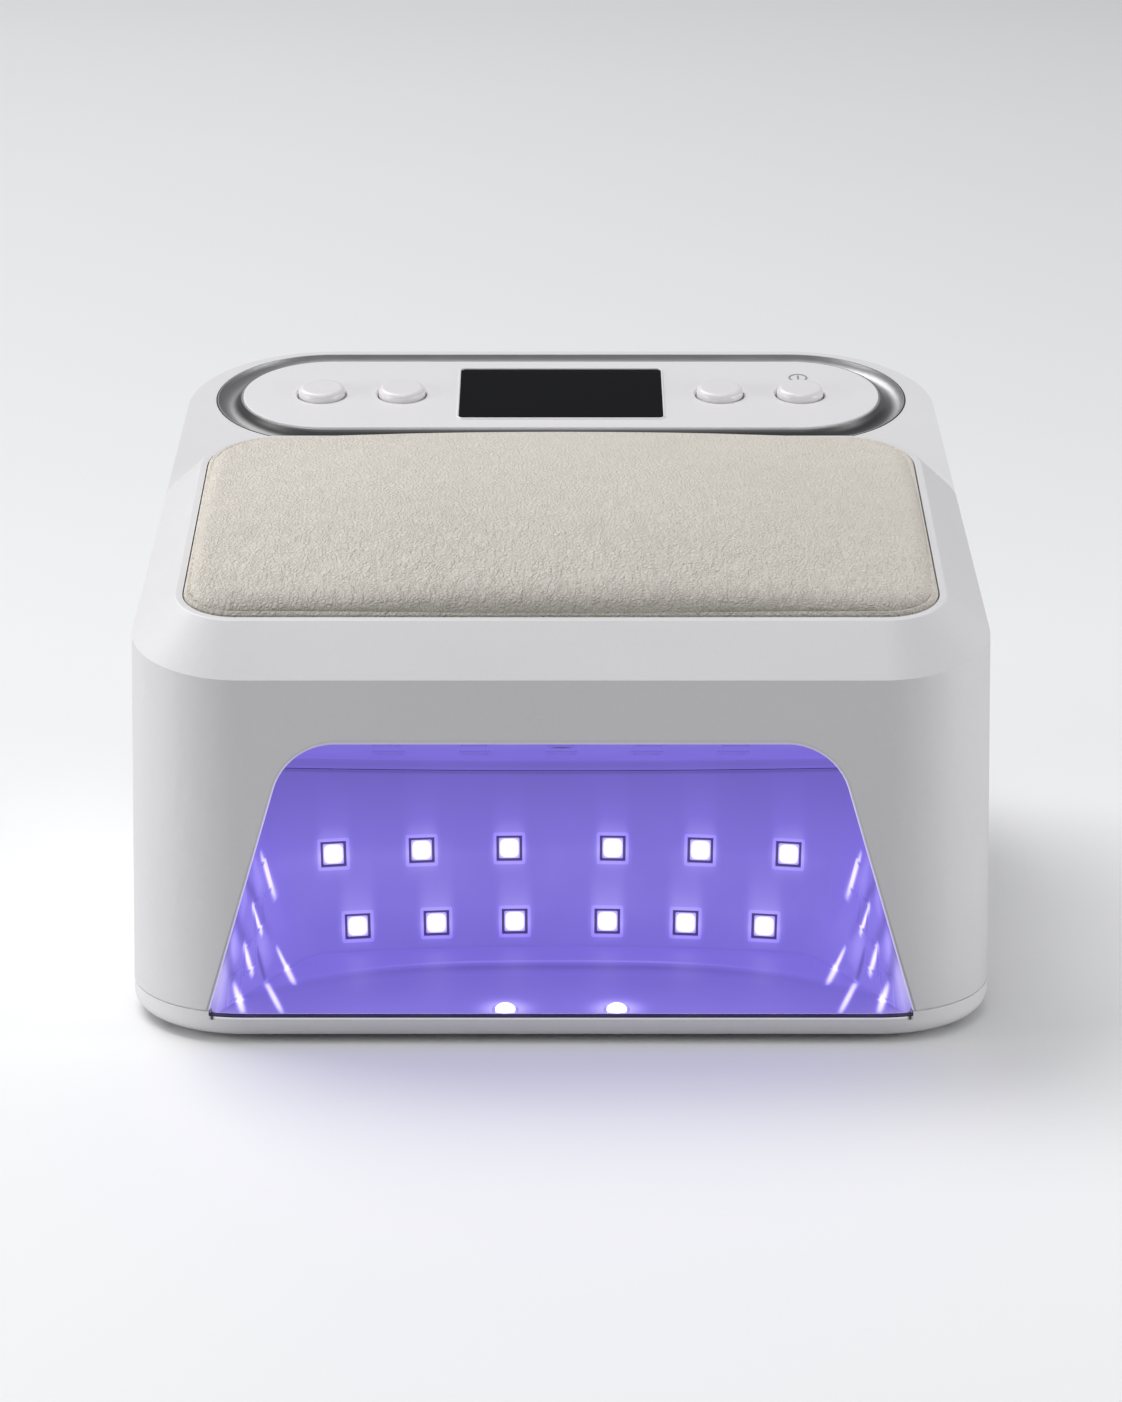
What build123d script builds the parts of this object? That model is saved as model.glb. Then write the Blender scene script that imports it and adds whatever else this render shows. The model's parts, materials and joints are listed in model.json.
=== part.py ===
from build123d import *
import os
from math import cos, pi, radians, sin, sqrt, tan

os.makedirs("parts", exist_ok=True)

# A nail lamp in millimetres: the front faces -Y, +Z is up, and the origin lies
# on the table under the middle of the base. Slopes along the top are measured
# in the plane TOP: u to the right, v up the slope from the front edge, and h
# straight out of it.

# Casing
WIDTH = 220.0               # between the side faces, produced to the front face
DEPTH = 213.0
SEAM_Z = 8.2                # joint between the base and the casing
FRONT_TOP_Z = 94.6          # where the front face meets the slope of the top
TOP_TILT = 10.5             # degrees
WALL_DRAFT = 1.3            # degrees
PLAN_TAPER = 0.7            # degrees, each side draws in to the rear
FRONT_CORNER_R = 30.0
REAR_CORNER_R = 42.0
SHELL_WALL = 2.4

# Raised platform under the arm pad
PLATFORM_RISE = 9.5
SKIRT_FRONT = 14.0          # run of the sloped skirt at the front
SKIRT_REAR = 8.0
RIM_SIDE_IN = 13.5          # from the side faces to the rim
PLATEAU_GAP = 9.9           # from the rear skirt to the control panel's ring
RIM_EDGE_R = 0.8
RIM_FRONT_R = 16.0
RIM_REAR_R = 20.0
RIM_LIP = 1.8               # flat lip between the skirt and the pad
POCKET_DEPTH = 3.2

# Arm pad
PAD_GAP = 0.3
PAD_BOARD = 2.5
PAD_CROWN = 6.4             # top of the pad above the rim
PAD_FALL_X = 2.6            # how far the crown falls to the ends
PAD_FALL_V = 3.0            # how far it falls to the front and rear
PAD_ROLL = 5.0              # radius of the rolled edge
PAD_WAIST = 1.1             # how far the sides draw in towards the board

# Hand opening in the front face
OPENING_CHEEK = 21.8        # casing left at each side of the opening, at the seam
OPENING_TOP_Z = 78.1
OPENING_SLANT = 16.5        # degrees, lean of the sides
OPENING_R = 16.0
OPENING_EDGE_R = 0.8
OPENING_LIP = 2.0           # width of the turned-in lip
OPENING_LIP_DEPTH = 3.0     # how far the lip reaches in past the wall

# Reflector of the hand space
FLOOR_Z = 5.5
FLOOR_PLATE = 1.2
REFLECTOR_WALL = 1.8
REFLECTOR_GROW = 0.8        # the reflector starts this far outside the opening
REFLECTOR_DEPTH = 51.0      # from its front edge to the back wall, at the floor
REFLECTOR_LEAN = 10.0       # degrees, the back wall leans back
REFLECTOR_ARC_R = 350.0     # bend of the back wall in plan
REFLECTOR_BACK_IN = 22.2    # the back wall is narrower than the opening by this at each side
REFLECTOR_FLARE = 20.0      # degrees, the back corners spread with height
REFLECTOR_CORNER_R = 12.0
ROOF_REAR_Z = 54.0          # where the roof meets the back wall
ROOF_SEAM_DROP = 2.5        # the roof's turned-down rim
FLANGE_WIDTH = 8.5
FLANGE = 1.6
SEAT_GAP = 0.15

# Light sources
LED_SIZE = 5.0
LED_HEIGHT = 1.3
LED_WINDOW = 6.8
LED_FRAME = 0.7             # raised frame round each window
LED_FRAME_RISE = 0.4
LED_BOARD = 1.2
LED_BOARD_GAP = 0.3
LED_BOARD_SLACK = 0.35      # solder gap under each source
LED_BOARD_EDGE = 5.4        # from a source's middle to its board's edge
LED_BOARD_LOW_Z = 7.0
BACK_UPPER_FIRST = 13.6     # from the middle to the first window
BACK_UPPER_END = 6.4        # from the last window to the wall's corner at the floor
BACK_LOWER_FIRST = 12.2
BACK_LOWER_END = 12.6
BACK_UPPER_Z = 31.2
BACK_LOWER_Z = 12.0
SIDE_IN = (13.6, 22.0, 30.0, 41.0)  # places from here on are measured in from the front face
SIDE_Z = (10.2, 15.5, 24.0, 29.8)
SIDE_SLACK = 0.7            # the side boards lie askew to their sources
ROOF_X = (-44.0, -22.0, 0.0, 22.0, 44.0)
ROOF_IN = (20.5, 42.5)
FLOOR_LED_X = 14.1
FLOOR_LED_IN = 10.5
SENSOR_SIZE = 6.0
SENSOR_IN = 31.5
FLOOR_RIB_IN = (22.5, 36.5)

# Base
FOOT_LIFT = 1.5
BASE_FLOOR = 1.8
BASE_WALL = 2.4
BASE_EDGE_R = 4.0
SEAM_EDGE_R = 0.6           # rounding of the casing's lower edge
SILL_STEP = 0.8
TONGUE = 1.2
TONGUE_RISE = 2.0
FOOT_R = 8.0
FOOT_INSET = 0.8
FOOT_FRONT_IN = (30.0, 32.5)    # in from the side and from the front
FOOT_REAR_IN = (36.0, 34.5)     # in from the side and from the rear
VENT_WIDTH = 3.0
VENT_LENGTH = 30.0
VENT_PITCH = 7.0
VENTS = 7                   # in each bank
VENT_BANK_X = 32.0
VENT_BANK_Y = 24.0

# Bosses and screws that hold the base to the casing
BOSS_R = 4.2
BOSS_SPLIT_Z = 12.0
BOSS_FRONT_IN = (12.2, 14.8)    # in from the side and from the front
BOSS_SIDE_IN = (8.4, 92.5)
BOSS_REAR_IN = (22.5, 19.5)
SCREW_R = 1.5
SCREW_HEAD_R = 2.8
SCREW_HEAD = 2.0
SCREW_LENGTH = 18.0
SMALL_SCREW_R = 1.1
SMALL_HEAD_R = 2.1
SMALL_HEAD = 1.4
SMALL_SCREW_LENGTH = 5.0
FLANGE_SCREW_LENGTH = 3.4
CLEAR = 0.15

# Control panel
PANEL_REAR_IN = 33.85       # from the top's rear edge to the panel's centre line
PANEL_SIDE_IN = 12.3        # from the side faces to the ring
RING_R = 31.5
PANEL_R = 24.0
PANEL_RISE = 1.0
PANEL_THICK = 2.4
PANEL_EDGE_R = 0.4
RING_DEPTH = 3.8
RING_DISH = 2.3
RING_LEDGE = 1.9            # ledge under the panel's edge
RING_LEDGE_THICK = 1.6
PANEL_LEDGE_R = 28.0        # opening of the casing under the ring
PANEL_SEAT = 2.0

BUTTON_IN = 16.3            # from the display to the inner buttons
BUTTON_PITCH = 22.8
BUTTON_NAMES = ("program_button_1", "program_button_2", "program_button_3", "power_button")
BUTTON_R = 6.6
BUTTON_HOLE_GAP = 0.45
BUTTON_RISE = 2.1
BUTTON_EDGE_R = 1.5
BUTTON_FLANGE_R = 7.9
BUTTON_FLANGE = 1.0
BUTTON_STEM_R = 2.0
BUTTON_TRAVEL = 0.8
SWITCH_SIZE = 6.2
SWITCH_HEIGHT = 3.6
PLUNGER_R = 1.7
PLUNGER_SHOWS = 1.1

DISPLAY_WIDTH = 57.6
DISPLAY_HEIGHT = 36.0
DISPLAY_R = 1.6
DISPLAY_LENS = 1.5
DISPLAY_LEDGE = 1.8
BOARD = 1.6
CONTROL_BOARD_END = 6.1     # past the outer buttons
CONTROL_BOARD_HEIGHT = 34.0
CONTROL_POST_R = 2.4
CONTROL_POST_V = 13.5

# Power parts inside
MAIN_BOARD_WIDTH = 84.0
MAIN_BOARD_DEPTH = 96.0
BOARD_SIDE_GAP = 5.0        # from the middle to the main board, and to the cradle
MAIN_BOARD_Z = 9.0
MAIN_POST_R = 3.0
CELL_R = 9.2
CELL_LENGTH = 65.0
CELLS = 4
CRADLE_WALL = 1.6
CRADLE_Y = 28.0
JACK_X = 44.0
JACK_WIDTH = 9.0
JACK_HEIGHT = 11.0
JACK_LENGTH = 14.0
JACK_BARREL_R = 3.9
JACK_BORE_R = 2.85
JACK_PIN_R = 1.05

# Worked-out places
BOSS_PLACES = (
    (WIDTH / 2 - BOSS_FRONT_IN[0], BOSS_FRONT_IN[1] - DEPTH / 2),
    (WIDTH / 2 - BOSS_SIDE_IN[0], BOSS_SIDE_IN[1] - DEPTH / 2),
    (WIDTH / 2 - BOSS_REAR_IN[0], DEPTH / 2 - BOSS_REAR_IN[1]),
)
FOOT_PLACES = (
    (WIDTH / 2 - FOOT_FRONT_IN[0], FOOT_FRONT_IN[1] - DEPTH / 2),
    (WIDTH / 2 - FOOT_REAR_IN[0], DEPTH / 2 - FOOT_REAR_IN[1]),
)
TILT = radians(TOP_TILT)
TALL_Z = FRONT_TOP_Z + DEPTH * tan(TILT) + 2 * PLATFORM_RISE
RIM_HALF = WIDTH / 2 - RIM_SIDE_IN
OPENING_BOTTOM_WIDTH = WIDTH - 2 * OPENING_CHEEK
REFLECTOR_BACK_HALF = OPENING_BOTTOM_WIDTH / 2 - REFLECTOR_BACK_IN
PANEL_SPAN = WIDTH - 2 * (PANEL_SIDE_IN + RING_R)
SIDE_Y = [inward - DEPTH / 2 for inward in SIDE_IN]
ROOF_Y = [inward - DEPTH / 2 for inward in ROOF_IN]
SENSOR_Y = SENSOR_IN - DEPTH / 2
FLOOR_LED_Y = FLOOR_LED_IN - DEPTH / 2
INNER_BUTTON_X = DISPLAY_WIDTH / 2 + BUTTON_IN
OUTER_BUTTON_X = INNER_BUTTON_X + BUTTON_PITCH
BUTTON_X = (-OUTER_BUTTON_X, -INNER_BUTTON_X, INNER_BUTTON_X, OUTER_BUTTON_X)
MAIN_BOARD_X = BOARD_SIDE_GAP + MAIN_BOARD_WIDTH / 2
CELL_PITCH = 2 * CELL_R + 0.8


def wall_inset(z):
    """How far the drafted wall has drawn in at height z."""
    return (z - SEAM_Z) * tan(radians(WALL_DRAFT))


FRONT_TOP_Y = -DEPTH / 2 + wall_inset(FRONT_TOP_Z)
REAR_TOP_Y = DEPTH / 2 - wall_inset(FRONT_TOP_Z + DEPTH * tan(TILT))
PANEL_V = (REAR_TOP_Y - FRONT_TOP_Y) / cos(TILT) - PANEL_REAR_IN
RIM_REAR_V = PANEL_V - RING_R - PLATEAU_GAP - SKIRT_REAR
TOP = Plane(origin=(0, FRONT_TOP_Y, FRONT_TOP_Z), x_dir=(1, 0, 0), z_dir=(0, -sin(TILT), cos(TILT)))
BASE_FLOOR_Z = FOOT_LIFT + BASE_FLOOR
FRONT_NORMAL = (0, -cos(radians(WALL_DRAFT)), sin(radians(WALL_DRAFT)))


def front_plane(depth):
    """The plane that lies depth behind the front face, facing forward."""
    return Plane(origin=(0, -DEPTH / 2 + depth, SEAM_Z), x_dir=(1, 0, 0), z_dir=FRONT_NORMAL)


def blend(start, end, share):
    return start + (end - start) * share


def body_outline(z, inset=0.0):
    """Plan of the casing at height z, drawn in by inset."""
    gone = inset + wall_inset(z)
    y = DEPTH / 2 - gone
    front_x = WIDTH / 2 - gone
    rear_x = front_x - 2 * y * tan(radians(PLAN_TAPER))
    plan = make_face(Polyline((-front_x, -y), (front_x, -y), (rear_x, y), (-rear_x, y), close=True))
    plan = fillet(plan.vertices().group_by(Axis.Y)[0], FRONT_CORNER_R - gone)
    return fillet(plan.vertices().group_by(Axis.Y)[-1], REAR_CORNER_R - gone)


def body_block(low_z, high_z, inset=0.0):
    """Drafted block inside the four walls."""
    return loft([Pos(0, 0, z) * body_outline(z, inset) for z in (low_z, high_z)], ruled=True)


def top_half_width(v):
    """Half width of the sloped top at the distance v up it."""
    z = FRONT_TOP_Z + v * sin(TILT)
    y = FRONT_TOP_Y + v * cos(TILT)
    gone = wall_inset(z)
    return WIDTH / 2 - gone - (y + DEPTH / 2 - gone) * tan(radians(PLAN_TAPER))


def platform_outline(h, inset=0.0):
    """Outline of the platform at height h over the sloped top: foot at 0, rim at full rise."""
    share = h / PLATFORM_RISE
    front_v = SKIRT_FRONT * share + inset
    rear_v = RIM_REAR_V + SKIRT_REAR * (1 - share) - inset
    front_x = blend(top_half_width(front_v), RIM_HALF, share) - inset
    rear_x = blend(top_half_width(rear_v), RIM_HALF, share) - inset
    foot_r = FRONT_CORNER_R - wall_inset(FRONT_TOP_Z) - 0.5
    front_r = blend(foot_r, RIM_FRONT_R, share) - inset
    rear_r = blend(RIM_REAR_R + SKIRT_REAR, RIM_REAR_R, share) - inset
    plan = make_face(Polyline((-front_x, front_v), (front_x, front_v), (rear_x, rear_v),
                              (-rear_x, rear_v), close=True))
    plan = fillet(plan.vertices().group_by(Axis.Y)[0], front_r)
    return fillet(plan.vertices().group_by(Axis.Y)[-1], rear_r)


def casing_form(inset=0.0, drop=0.0, platform_top=PLATFORM_RISE):
    """Outer form of the casing, or with inset and drop the hollow inside it."""
    tall = body_block(SEAM_Z, TALL_Z, inset)
    body = split(tall, bisect_by=TOP.offset(-drop), keep=Keep.BOTTOM)
    skirts = loft([TOP.offset(h) * platform_outline(h, inset) for h in (-drop - 1, platform_top)],
                  ruled=True)
    return body + (skirts & tall)


def pocket_outline(inset=0.0):
    """Outline of the pad's pocket in the platform."""
    edge = RIM_LIP + inset
    x = RIM_HALF - edge
    plan = make_face(Polyline((-x, SKIRT_FRONT + edge), (x, SKIRT_FRONT + edge),
                              (x, RIM_REAR_V - edge), (-x, RIM_REAR_V - edge), close=True))
    plan = fillet(plan.vertices().group_by(Axis.Y)[0], RIM_FRONT_R - edge)
    return fillet(plan.vertices().group_by(Axis.Y)[-1], RIM_REAR_R - edge)


def stadium(radius):
    """Round-ended outline on the control panel's centre line."""
    return Pos(0, PANEL_V) * SlotCenterToCenter(PANEL_SPAN, 2 * radius)


def top_slab(sketch, low, high):
    """The sketch, drawn in TOP, as a solid from height low to height high."""
    return extrude(TOP.offset(low) * sketch, amount=high - low)


def opening_half_width(z):
    return OPENING_BOTTOM_WIDTH / 2 - (z - SEAM_Z) * tan(radians(OPENING_SLANT))


def opening_outline(grow=0.0):
    """Hand opening seen from the front, open at the bottom."""
    low = SEAM_Z - 10
    high = OPENING_TOP_Z + grow
    low_x = opening_half_width(low) + grow
    high_x = opening_half_width(high) + grow
    face = make_face(Polyline((-low_x, low), (low_x, low), (high_x, high), (-high_x, high), close=True))
    return fillet(face.vertices().group_by(Axis.Y)[-1], OPENING_R + grow)


def from_front(sketch, near, far):
    """The sketch, seen from the front, as a solid from depth near to depth far."""
    return extrude(Plane.XZ.offset(DEPTH / 2 - far) * sketch, amount=far - near)


def screw(length, radius, head_radius, head):
    """A screw along +Z with its head below the origin."""
    return Pos(0, 0, length / 2) * Cylinder(radius, length) + Pos(0, 0, -head / 2) * Cylinder(head_radius, head)


def both_sides(places):
    return [(side * x, y) for x, y in places for side in (-1, 1)]


# Hand space: its inner form, and places on its walls

REFLECTOR_FRONT = SHELL_WALL + OPENING_LIP_DEPTH + SEAT_GAP


def reflector_plan(z, grow=0.0):
    """Plan of the hand space at height z, without its round corners: two sides and a curved back."""
    front_y = -DEPTH / 2
    front_x = opening_half_width(z) + REFLECTOR_GROW + grow
    back_x = reflector_back_half(z) + grow
    back_y = reflector_back_y(0, z) + grow
    corner_y = back_y - back_sag(back_x)
    left = (-back_x, corner_y)
    right = (back_x, corner_y)
    return make_face(Curve() + [
        Line((-front_x, front_y), left),
        ThreePointArc(left, (0, back_y), right),
        Line(right, (front_x, front_y)),
        Line((front_x, front_y), (-front_x, front_y)),
    ])


def reflector_back_half(z):
    """Half width of the back wall at height z."""
    return REFLECTOR_BACK_HALF + (z - FLOOR_Z) * tan(radians(REFLECTOR_FLARE))


def back_sag(x):
    return REFLECTOR_ARC_R - sqrt(REFLECTOR_ARC_R ** 2 - x ** 2)


def reflector_back_y(x, z):
    front_y = -DEPTH / 2 + REFLECTOR_FRONT
    return front_y + REFLECTOR_DEPTH + (z - FLOOR_Z) * tan(radians(REFLECTOR_LEAN)) - back_sag(x)


def roof_z(y):
    """Height of the hand space's roof at y: it falls from the opening to the back wall."""
    front_y = -DEPTH / 2 + REFLECTOR_FRONT
    front_z = OPENING_TOP_Z + REFLECTOR_GROW
    share = (y - front_y) / (reflector_back_y(0, ROOF_REAR_Z) - front_y)
    return blend(front_z, ROOF_REAR_Z, share)


def roof_plane(lift=0.0):
    ends = [Vector(0, y, roof_z(y)) for y in (-DEPTH / 2, -DEPTH / 4)]
    along = (ends[1] - ends[0]).normalized()
    up = Vector(1, 0, 0).cross(along)
    return Plane(origin=ends[0], x_dir=(1, 0, 0), z_dir=up).offset(lift)


def hand_space(grow=0.0, low_z=BASE_FLOOR_Z + 0.2):
    """Inner form of the hand space, or with grow a skin round it."""
    high_z = OPENING_TOP_Z + 12
    form = loft([Pos(0, 0, z) * reflector_plan(z, grow) for z in (low_z, high_z)], ruled=True)
    upright = form.edges().group_by(Axis.Z)[1]
    form = fillet(upright.filter_by(lambda edge: edge.center().Y > -DEPTH / 2 + grow), REFLECTOR_CORNER_R + grow)
    form = split(form, bisect_by=roof_plane(grow), keep=Keep.BOTTOM)
    return split(form, bisect_by=front_plane(REFLECTOR_FRONT), keep=Keep.BOTTOM)


def side_spot(side, y, z):
    """The point of a side wall of the hand space at y and z."""
    front_x = opening_half_width(z) + REFLECTOR_GROW
    back_x = reflector_back_half(z)
    share = (y + DEPTH / 2) / (reflector_back_y(back_x, z) + DEPTH / 2)
    return Vector(side * blend(front_x, back_x, share), y, z)


def spot_plane(place, across, upward, inward):
    """A plane on a wall at place, facing along inward, from two points beside it."""
    u = (across - place).normalized()
    w = (upward - place).normalized()
    out = u.cross(w).normalized()
    if out.dot(inward) < 0:
        out = -out
    return Plane(origin=place, x_dir=u, z_dir=out)


def back_row(first, end):
    """Three evenly spaced places from the middle of the back wall to its corner."""
    last = REFLECTOR_BACK_HALF - end
    return first, (first + last) / 2, last


def back_spots():
    rows = [(x, BACK_UPPER_Z) for x in back_row(BACK_UPPER_FIRST, BACK_UPPER_END)]
    rows += [(x, BACK_LOWER_Z) for x in back_row(BACK_LOWER_FIRST, BACK_LOWER_END)]
    planes = []
    for x, z in both_sides(rows):
        def at(dx, dz):
            return Vector(x + dx, reflector_back_y(x + dx, z + dz), z + dz)
        planes.append(spot_plane(at(0, 0), at(1, 0), at(0, 1), Vector(0, -1, 0)))
    return planes


def side_spots(side):
    """Places up a side wall, from low at the front to high at the back."""
    return [spot_plane(side_spot(side, y, z), side_spot(side, y + 1, z), side_spot(side, y, z + 1),
                       Vector(-side, 0, 0)) for y, z in zip(SIDE_Y, SIDE_Z)]


def roof_spot(x, y):
    place = Vector(x, y, roof_z(y))
    return spot_plane(place, place + Vector(1, 0, 0), Vector(x, y + 1, roof_z(y + 1)), Vector(0, 0, -1))


def roof_spots():
    return [roof_spot(x, y) for y in ROOF_Y for x in ROOF_X]


def on_spots(spots, sketch, low, high):
    """The sketch as a solid at each spot, from height low to high over the wall."""
    return [extrude(spot.offset(low) * sketch, amount=high - low) for spot in spots]


def windowed(piece, spots):
    """The wall piece with a framed window at each spot."""
    frame = Rectangle(LED_WINDOW + 2 * LED_FRAME, LED_WINDOW + 2 * LED_FRAME)
    window = Rectangle(LED_WINDOW, LED_WINDOW)
    deep = 2 * REFLECTOR_WALL
    piece = piece + on_spots(spots, frame, -REFLECTOR_WALL / 2, LED_FRAME_RISE)
    return piece - on_spots(spots, window, -deep, deep)


def leds(spots, slack=LED_BOARD_SLACK):
    """Square light sources that stand on their board behind the windows."""
    low = slack - REFLECTOR_WALL - LED_BOARD_GAP
    return Compound(children=on_spots(spots, Rectangle(LED_SIZE, LED_SIZE), low, low + LED_HEIGHT))


def led_board(low, high):
    """The part, inside the box from low to high, of a board that follows the reflector."""
    near = REFLECTOR_WALL + LED_BOARD_GAP
    skin = hand_space(near + LED_BOARD) - hand_space(near)
    size = [b - a for a, b in zip(low, high)]
    middle = [(a + b) / 2 for a, b in zip(low, high)]
    return skin & (Pos(*middle) * Box(*size))


def back_led_board():
    reach = REFLECTOR_BACK_HALF - BACK_UPPER_END + LED_BOARD_EDGE
    back_y = reflector_back_y(0, FLOOR_Z)
    return led_board((-reach, back_y - 15, LED_BOARD_LOW_Z), (reach, back_y + 25, BACK_UPPER_Z + LED_BOARD_EDGE))


def side_led_board(side):
    ends = sorted((0, side * WIDTH / 2))
    return led_board((ends[0], min(SIDE_Y) - LED_BOARD_EDGE, LED_BOARD_LOW_Z),
                     (ends[1], max(SIDE_Y) + LED_BOARD_EDGE, max(SIDE_Z) + LED_BOARD_EDGE))


def roof_led_board():
    """Board over the roof, with a window for the hand sensor."""
    reach = max(ROOF_X) + LED_BOARD_EDGE
    board = led_board((-reach, min(ROOF_Y) - LED_BOARD_EDGE, ROOF_REAR_Z),
                      (reach, max(ROOF_Y) + LED_BOARD_EDGE, TALL_Z))
    return board - on_spots([roof_spot(0, SENSOR_Y)], Rectangle(SENSOR_SIZE + 4, SENSOR_SIZE + 4), -9, 9)


# Casing

def casing_bosses():
    """Screw bosses inside the casing, from the base's bosses up to the top, with their ribs."""
    top = casing_form(inset=SHELL_WALL / 2, drop=SHELL_WALL / 2, platform_top=PLATFORM_RISE - POCKET_DEPTH)
    rod = Cylinder(BOSS_R, TALL_Z, align=(Align.CENTER, Align.CENTER, Align.MIN))
    rods = [Pos(x, y, BOSS_SPLIT_Z) * rod for x, y in both_sides(BOSS_PLACES)]
    rib = Box(2 * BOSS_R + 12, SHELL_WALL / 2, TALL_Z, align=(Align.MIN, Align.CENTER, Align.MIN))
    rear_x, rear_y = BOSS_PLACES[-1]
    ribs = [Pos(side * rear_x, rear_y, BOSS_SPLIT_Z + 2) * Rot(0, 0, 45 if side > 0 else 135) * rib
            for side in (-1, 1)]
    return (Part() + rods + ribs) & top


def boss_bores(radius, low, high):
    hole = Cylinder(radius, high - low, align=(Align.CENTER, Align.CENTER, Align.MIN))
    return [Pos(x, y, low) * hole for x, y in both_sides(BOSS_PLACES)]


def reflector_screw_places():
    """Places in the flange, as (x, z), two on each side and two at the top."""
    middle = REFLECTOR_GROW + FLANGE_WIDTH - SMALL_HEAD_R - 1.2
    side = [(opening_half_width(z) + middle, z) for z in (22.0, 42.0)]
    return side + [(46.0, OPENING_TOP_Z + middle)]


def edges_at(shape, h):
    """The edges that lie at height h over the sloped top."""
    return shape.edges().filter_by(
        lambda edge: all(abs(TOP.to_local_coords(v.center()).Z - h) < 0.01 for v in edge.vertices()))


def rounded_form(form):
    """The casing's outer form with the hand opening sunk in it, and its edges rounded."""
    form = fillet(edges_at(form, PLATFORM_RISE), RIM_EDGE_R)
    sunk = form - from_front(opening_outline(), -5, 3 * SHELL_WALL + OPENING_LIP_DEPTH)
    front = sunk.faces().sort_by(Axis.Y)[0]
    mouth = [edge for edge in front.edges() if SEAM_Z + 1 < edge.center().Z < OPENING_TOP_Z + 1
             and abs(edge.center().X) < OPENING_BOTTOM_WIDTH / 2]
    rounded = fillet(mouth, OPENING_EDGE_R)
    clear_x = OPENING_BOTTOM_WIDTH / 2 + OPENING_EDGE_R / 4
    seam = [edge for edge in rounded.edges().group_by(Axis.Z)[0]
            if edge.center().Y > 0 or abs(edge.center().X) > clear_x]
    return fillet(seam, SEAM_EDGE_R)


def upper_shell():
    outer = casing_form()
    mouthed = rounded_form(outer)
    hollow = casing_form(SHELL_WALL, SHELL_WALL, PLATFORM_RISE - POCKET_DEPTH - SHELL_WALL)
    seat_low = -RING_DEPTH - PANEL_SEAT
    seat = top_slab(stadium(RING_R + PANEL_SEAT), seat_low, 0) & outer
    lip_far = SHELL_WALL + OPENING_LIP_DEPTH
    lip = from_front(opening_outline(OPENING_LIP) - opening_outline(), 0, 2 * lip_far)
    posts = [from_front(Pos(x, z) * Circle(SMALL_SCREW_R + 2), 0, 2 * lip_far)
             for x, z in both_sides(reflector_screw_places())]
    front_work = split((Part() + lip + posts) & mouthed, bisect_by=front_plane(lip_far), keep=Keep.TOP)
    shell = mouthed - hollow + seat + front_work + casing_bosses()
    shell -= boss_bores(SCREW_R + CLEAR, BOSS_SPLIT_Z, FOOT_LIFT + SCREW_LENGTH + 8)
    bores = [from_front(Pos(x, z) * Circle(SMALL_SCREW_R + CLEAR / 2), 0, 2 * lip_far)
             for x, z in both_sides(reflector_screw_places())]
    shell -= (Part() + bores) & body_block(SEAM_Z, TALL_Z, SHELL_WALL / 2)
    shell -= top_slab(stadium(RING_R + CLEAR), -RING_DEPTH, PLATFORM_RISE)
    shell -= top_slab(stadium(PANEL_LEDGE_R), seat_low - 1, 0)
    shell -= top_slab(pocket_outline(), PLATFORM_RISE - POCKET_DEPTH, 2 * PLATFORM_RISE)
    shell -= pad_screw_holes()
    return shell - Pos(JACK_X, DEPTH / 2, jack_z()) * Rot(90, 0, 0) * Cylinder(JACK_BARREL_R + CLEAR, 30)


# Arm pad

def pad_screw_spots():
    middle_v = (SKIRT_FRONT + RIM_REAR_V) / 2
    return [(x, middle_v + v) for x in (-62, 62) for v in (-34, 34)]


def pad_screw_holes():
    low = PLATFORM_RISE - POCKET_DEPTH - 2 * SHELL_WALL
    return [top_slab(Pos(u, v) * Circle(SCREW_R + CLEAR), low, PLATFORM_RISE) for u, v in pad_screw_spots()]


def arm_pad_board():
    low = PLATFORM_RISE - POCKET_DEPTH
    board = top_slab(pocket_outline(PAD_GAP), low, low + PAD_BOARD)
    return board - [top_slab(Pos(u, v) * Circle(SCREW_R + CLEAR / 2), low, low + PAD_BOARD - 0.5)
                    for u, v in pad_screw_spots()]


def arm_pad_screws():
    """Four screws driven from inside through the platform into the pad's board."""
    low = PLATFORM_RISE - POCKET_DEPTH - SHELL_WALL
    body = screw(SHELL_WALL + PAD_BOARD - 0.6, SCREW_R, SCREW_HEAD_R, SCREW_HEAD)
    return Compound(children=[TOP.location * Pos(u, v, low) * body for u, v in pad_screw_spots()])


def crown_form(top_h):
    """Barrel whose skin is the crown of the pad: it falls to the ends and to front and rear."""
    half_x = RIM_HALF - RIM_LIP
    half_v = (RIM_REAR_V - SKIRT_FRONT) / 2 - RIM_LIP
    arc_x = (half_x ** 2 + PAD_FALL_X ** 2) / (2 * PAD_FALL_X)
    arc_v = (half_v ** 2 + PAD_FALL_V ** 2) / (2 * PAD_FALL_V)
    reach = RIM_HALF + 10
    end_r = arc_v - arc_x + sqrt(arc_x ** 2 - reach ** 2)
    axle = TOP.from_local_coords((0, (RIM_REAR_V + SKIRT_FRONT) / 2, top_h - arc_v))
    profile = make_face(Curve() + [
        ThreePointArc((-reach, end_r), (0, arc_v), (reach, end_r)),
        Polyline((reach, end_r), (reach, 0), (-reach, 0), (-reach, end_r)),
    ])
    downward = Plane(origin=axle, x_dir=(1, 0, 0), z_dir=TOP.y_dir)
    return revolve(downward * profile, axis=Axis(axle, (1, 0, 0)), revolution_arc=360)


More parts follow.
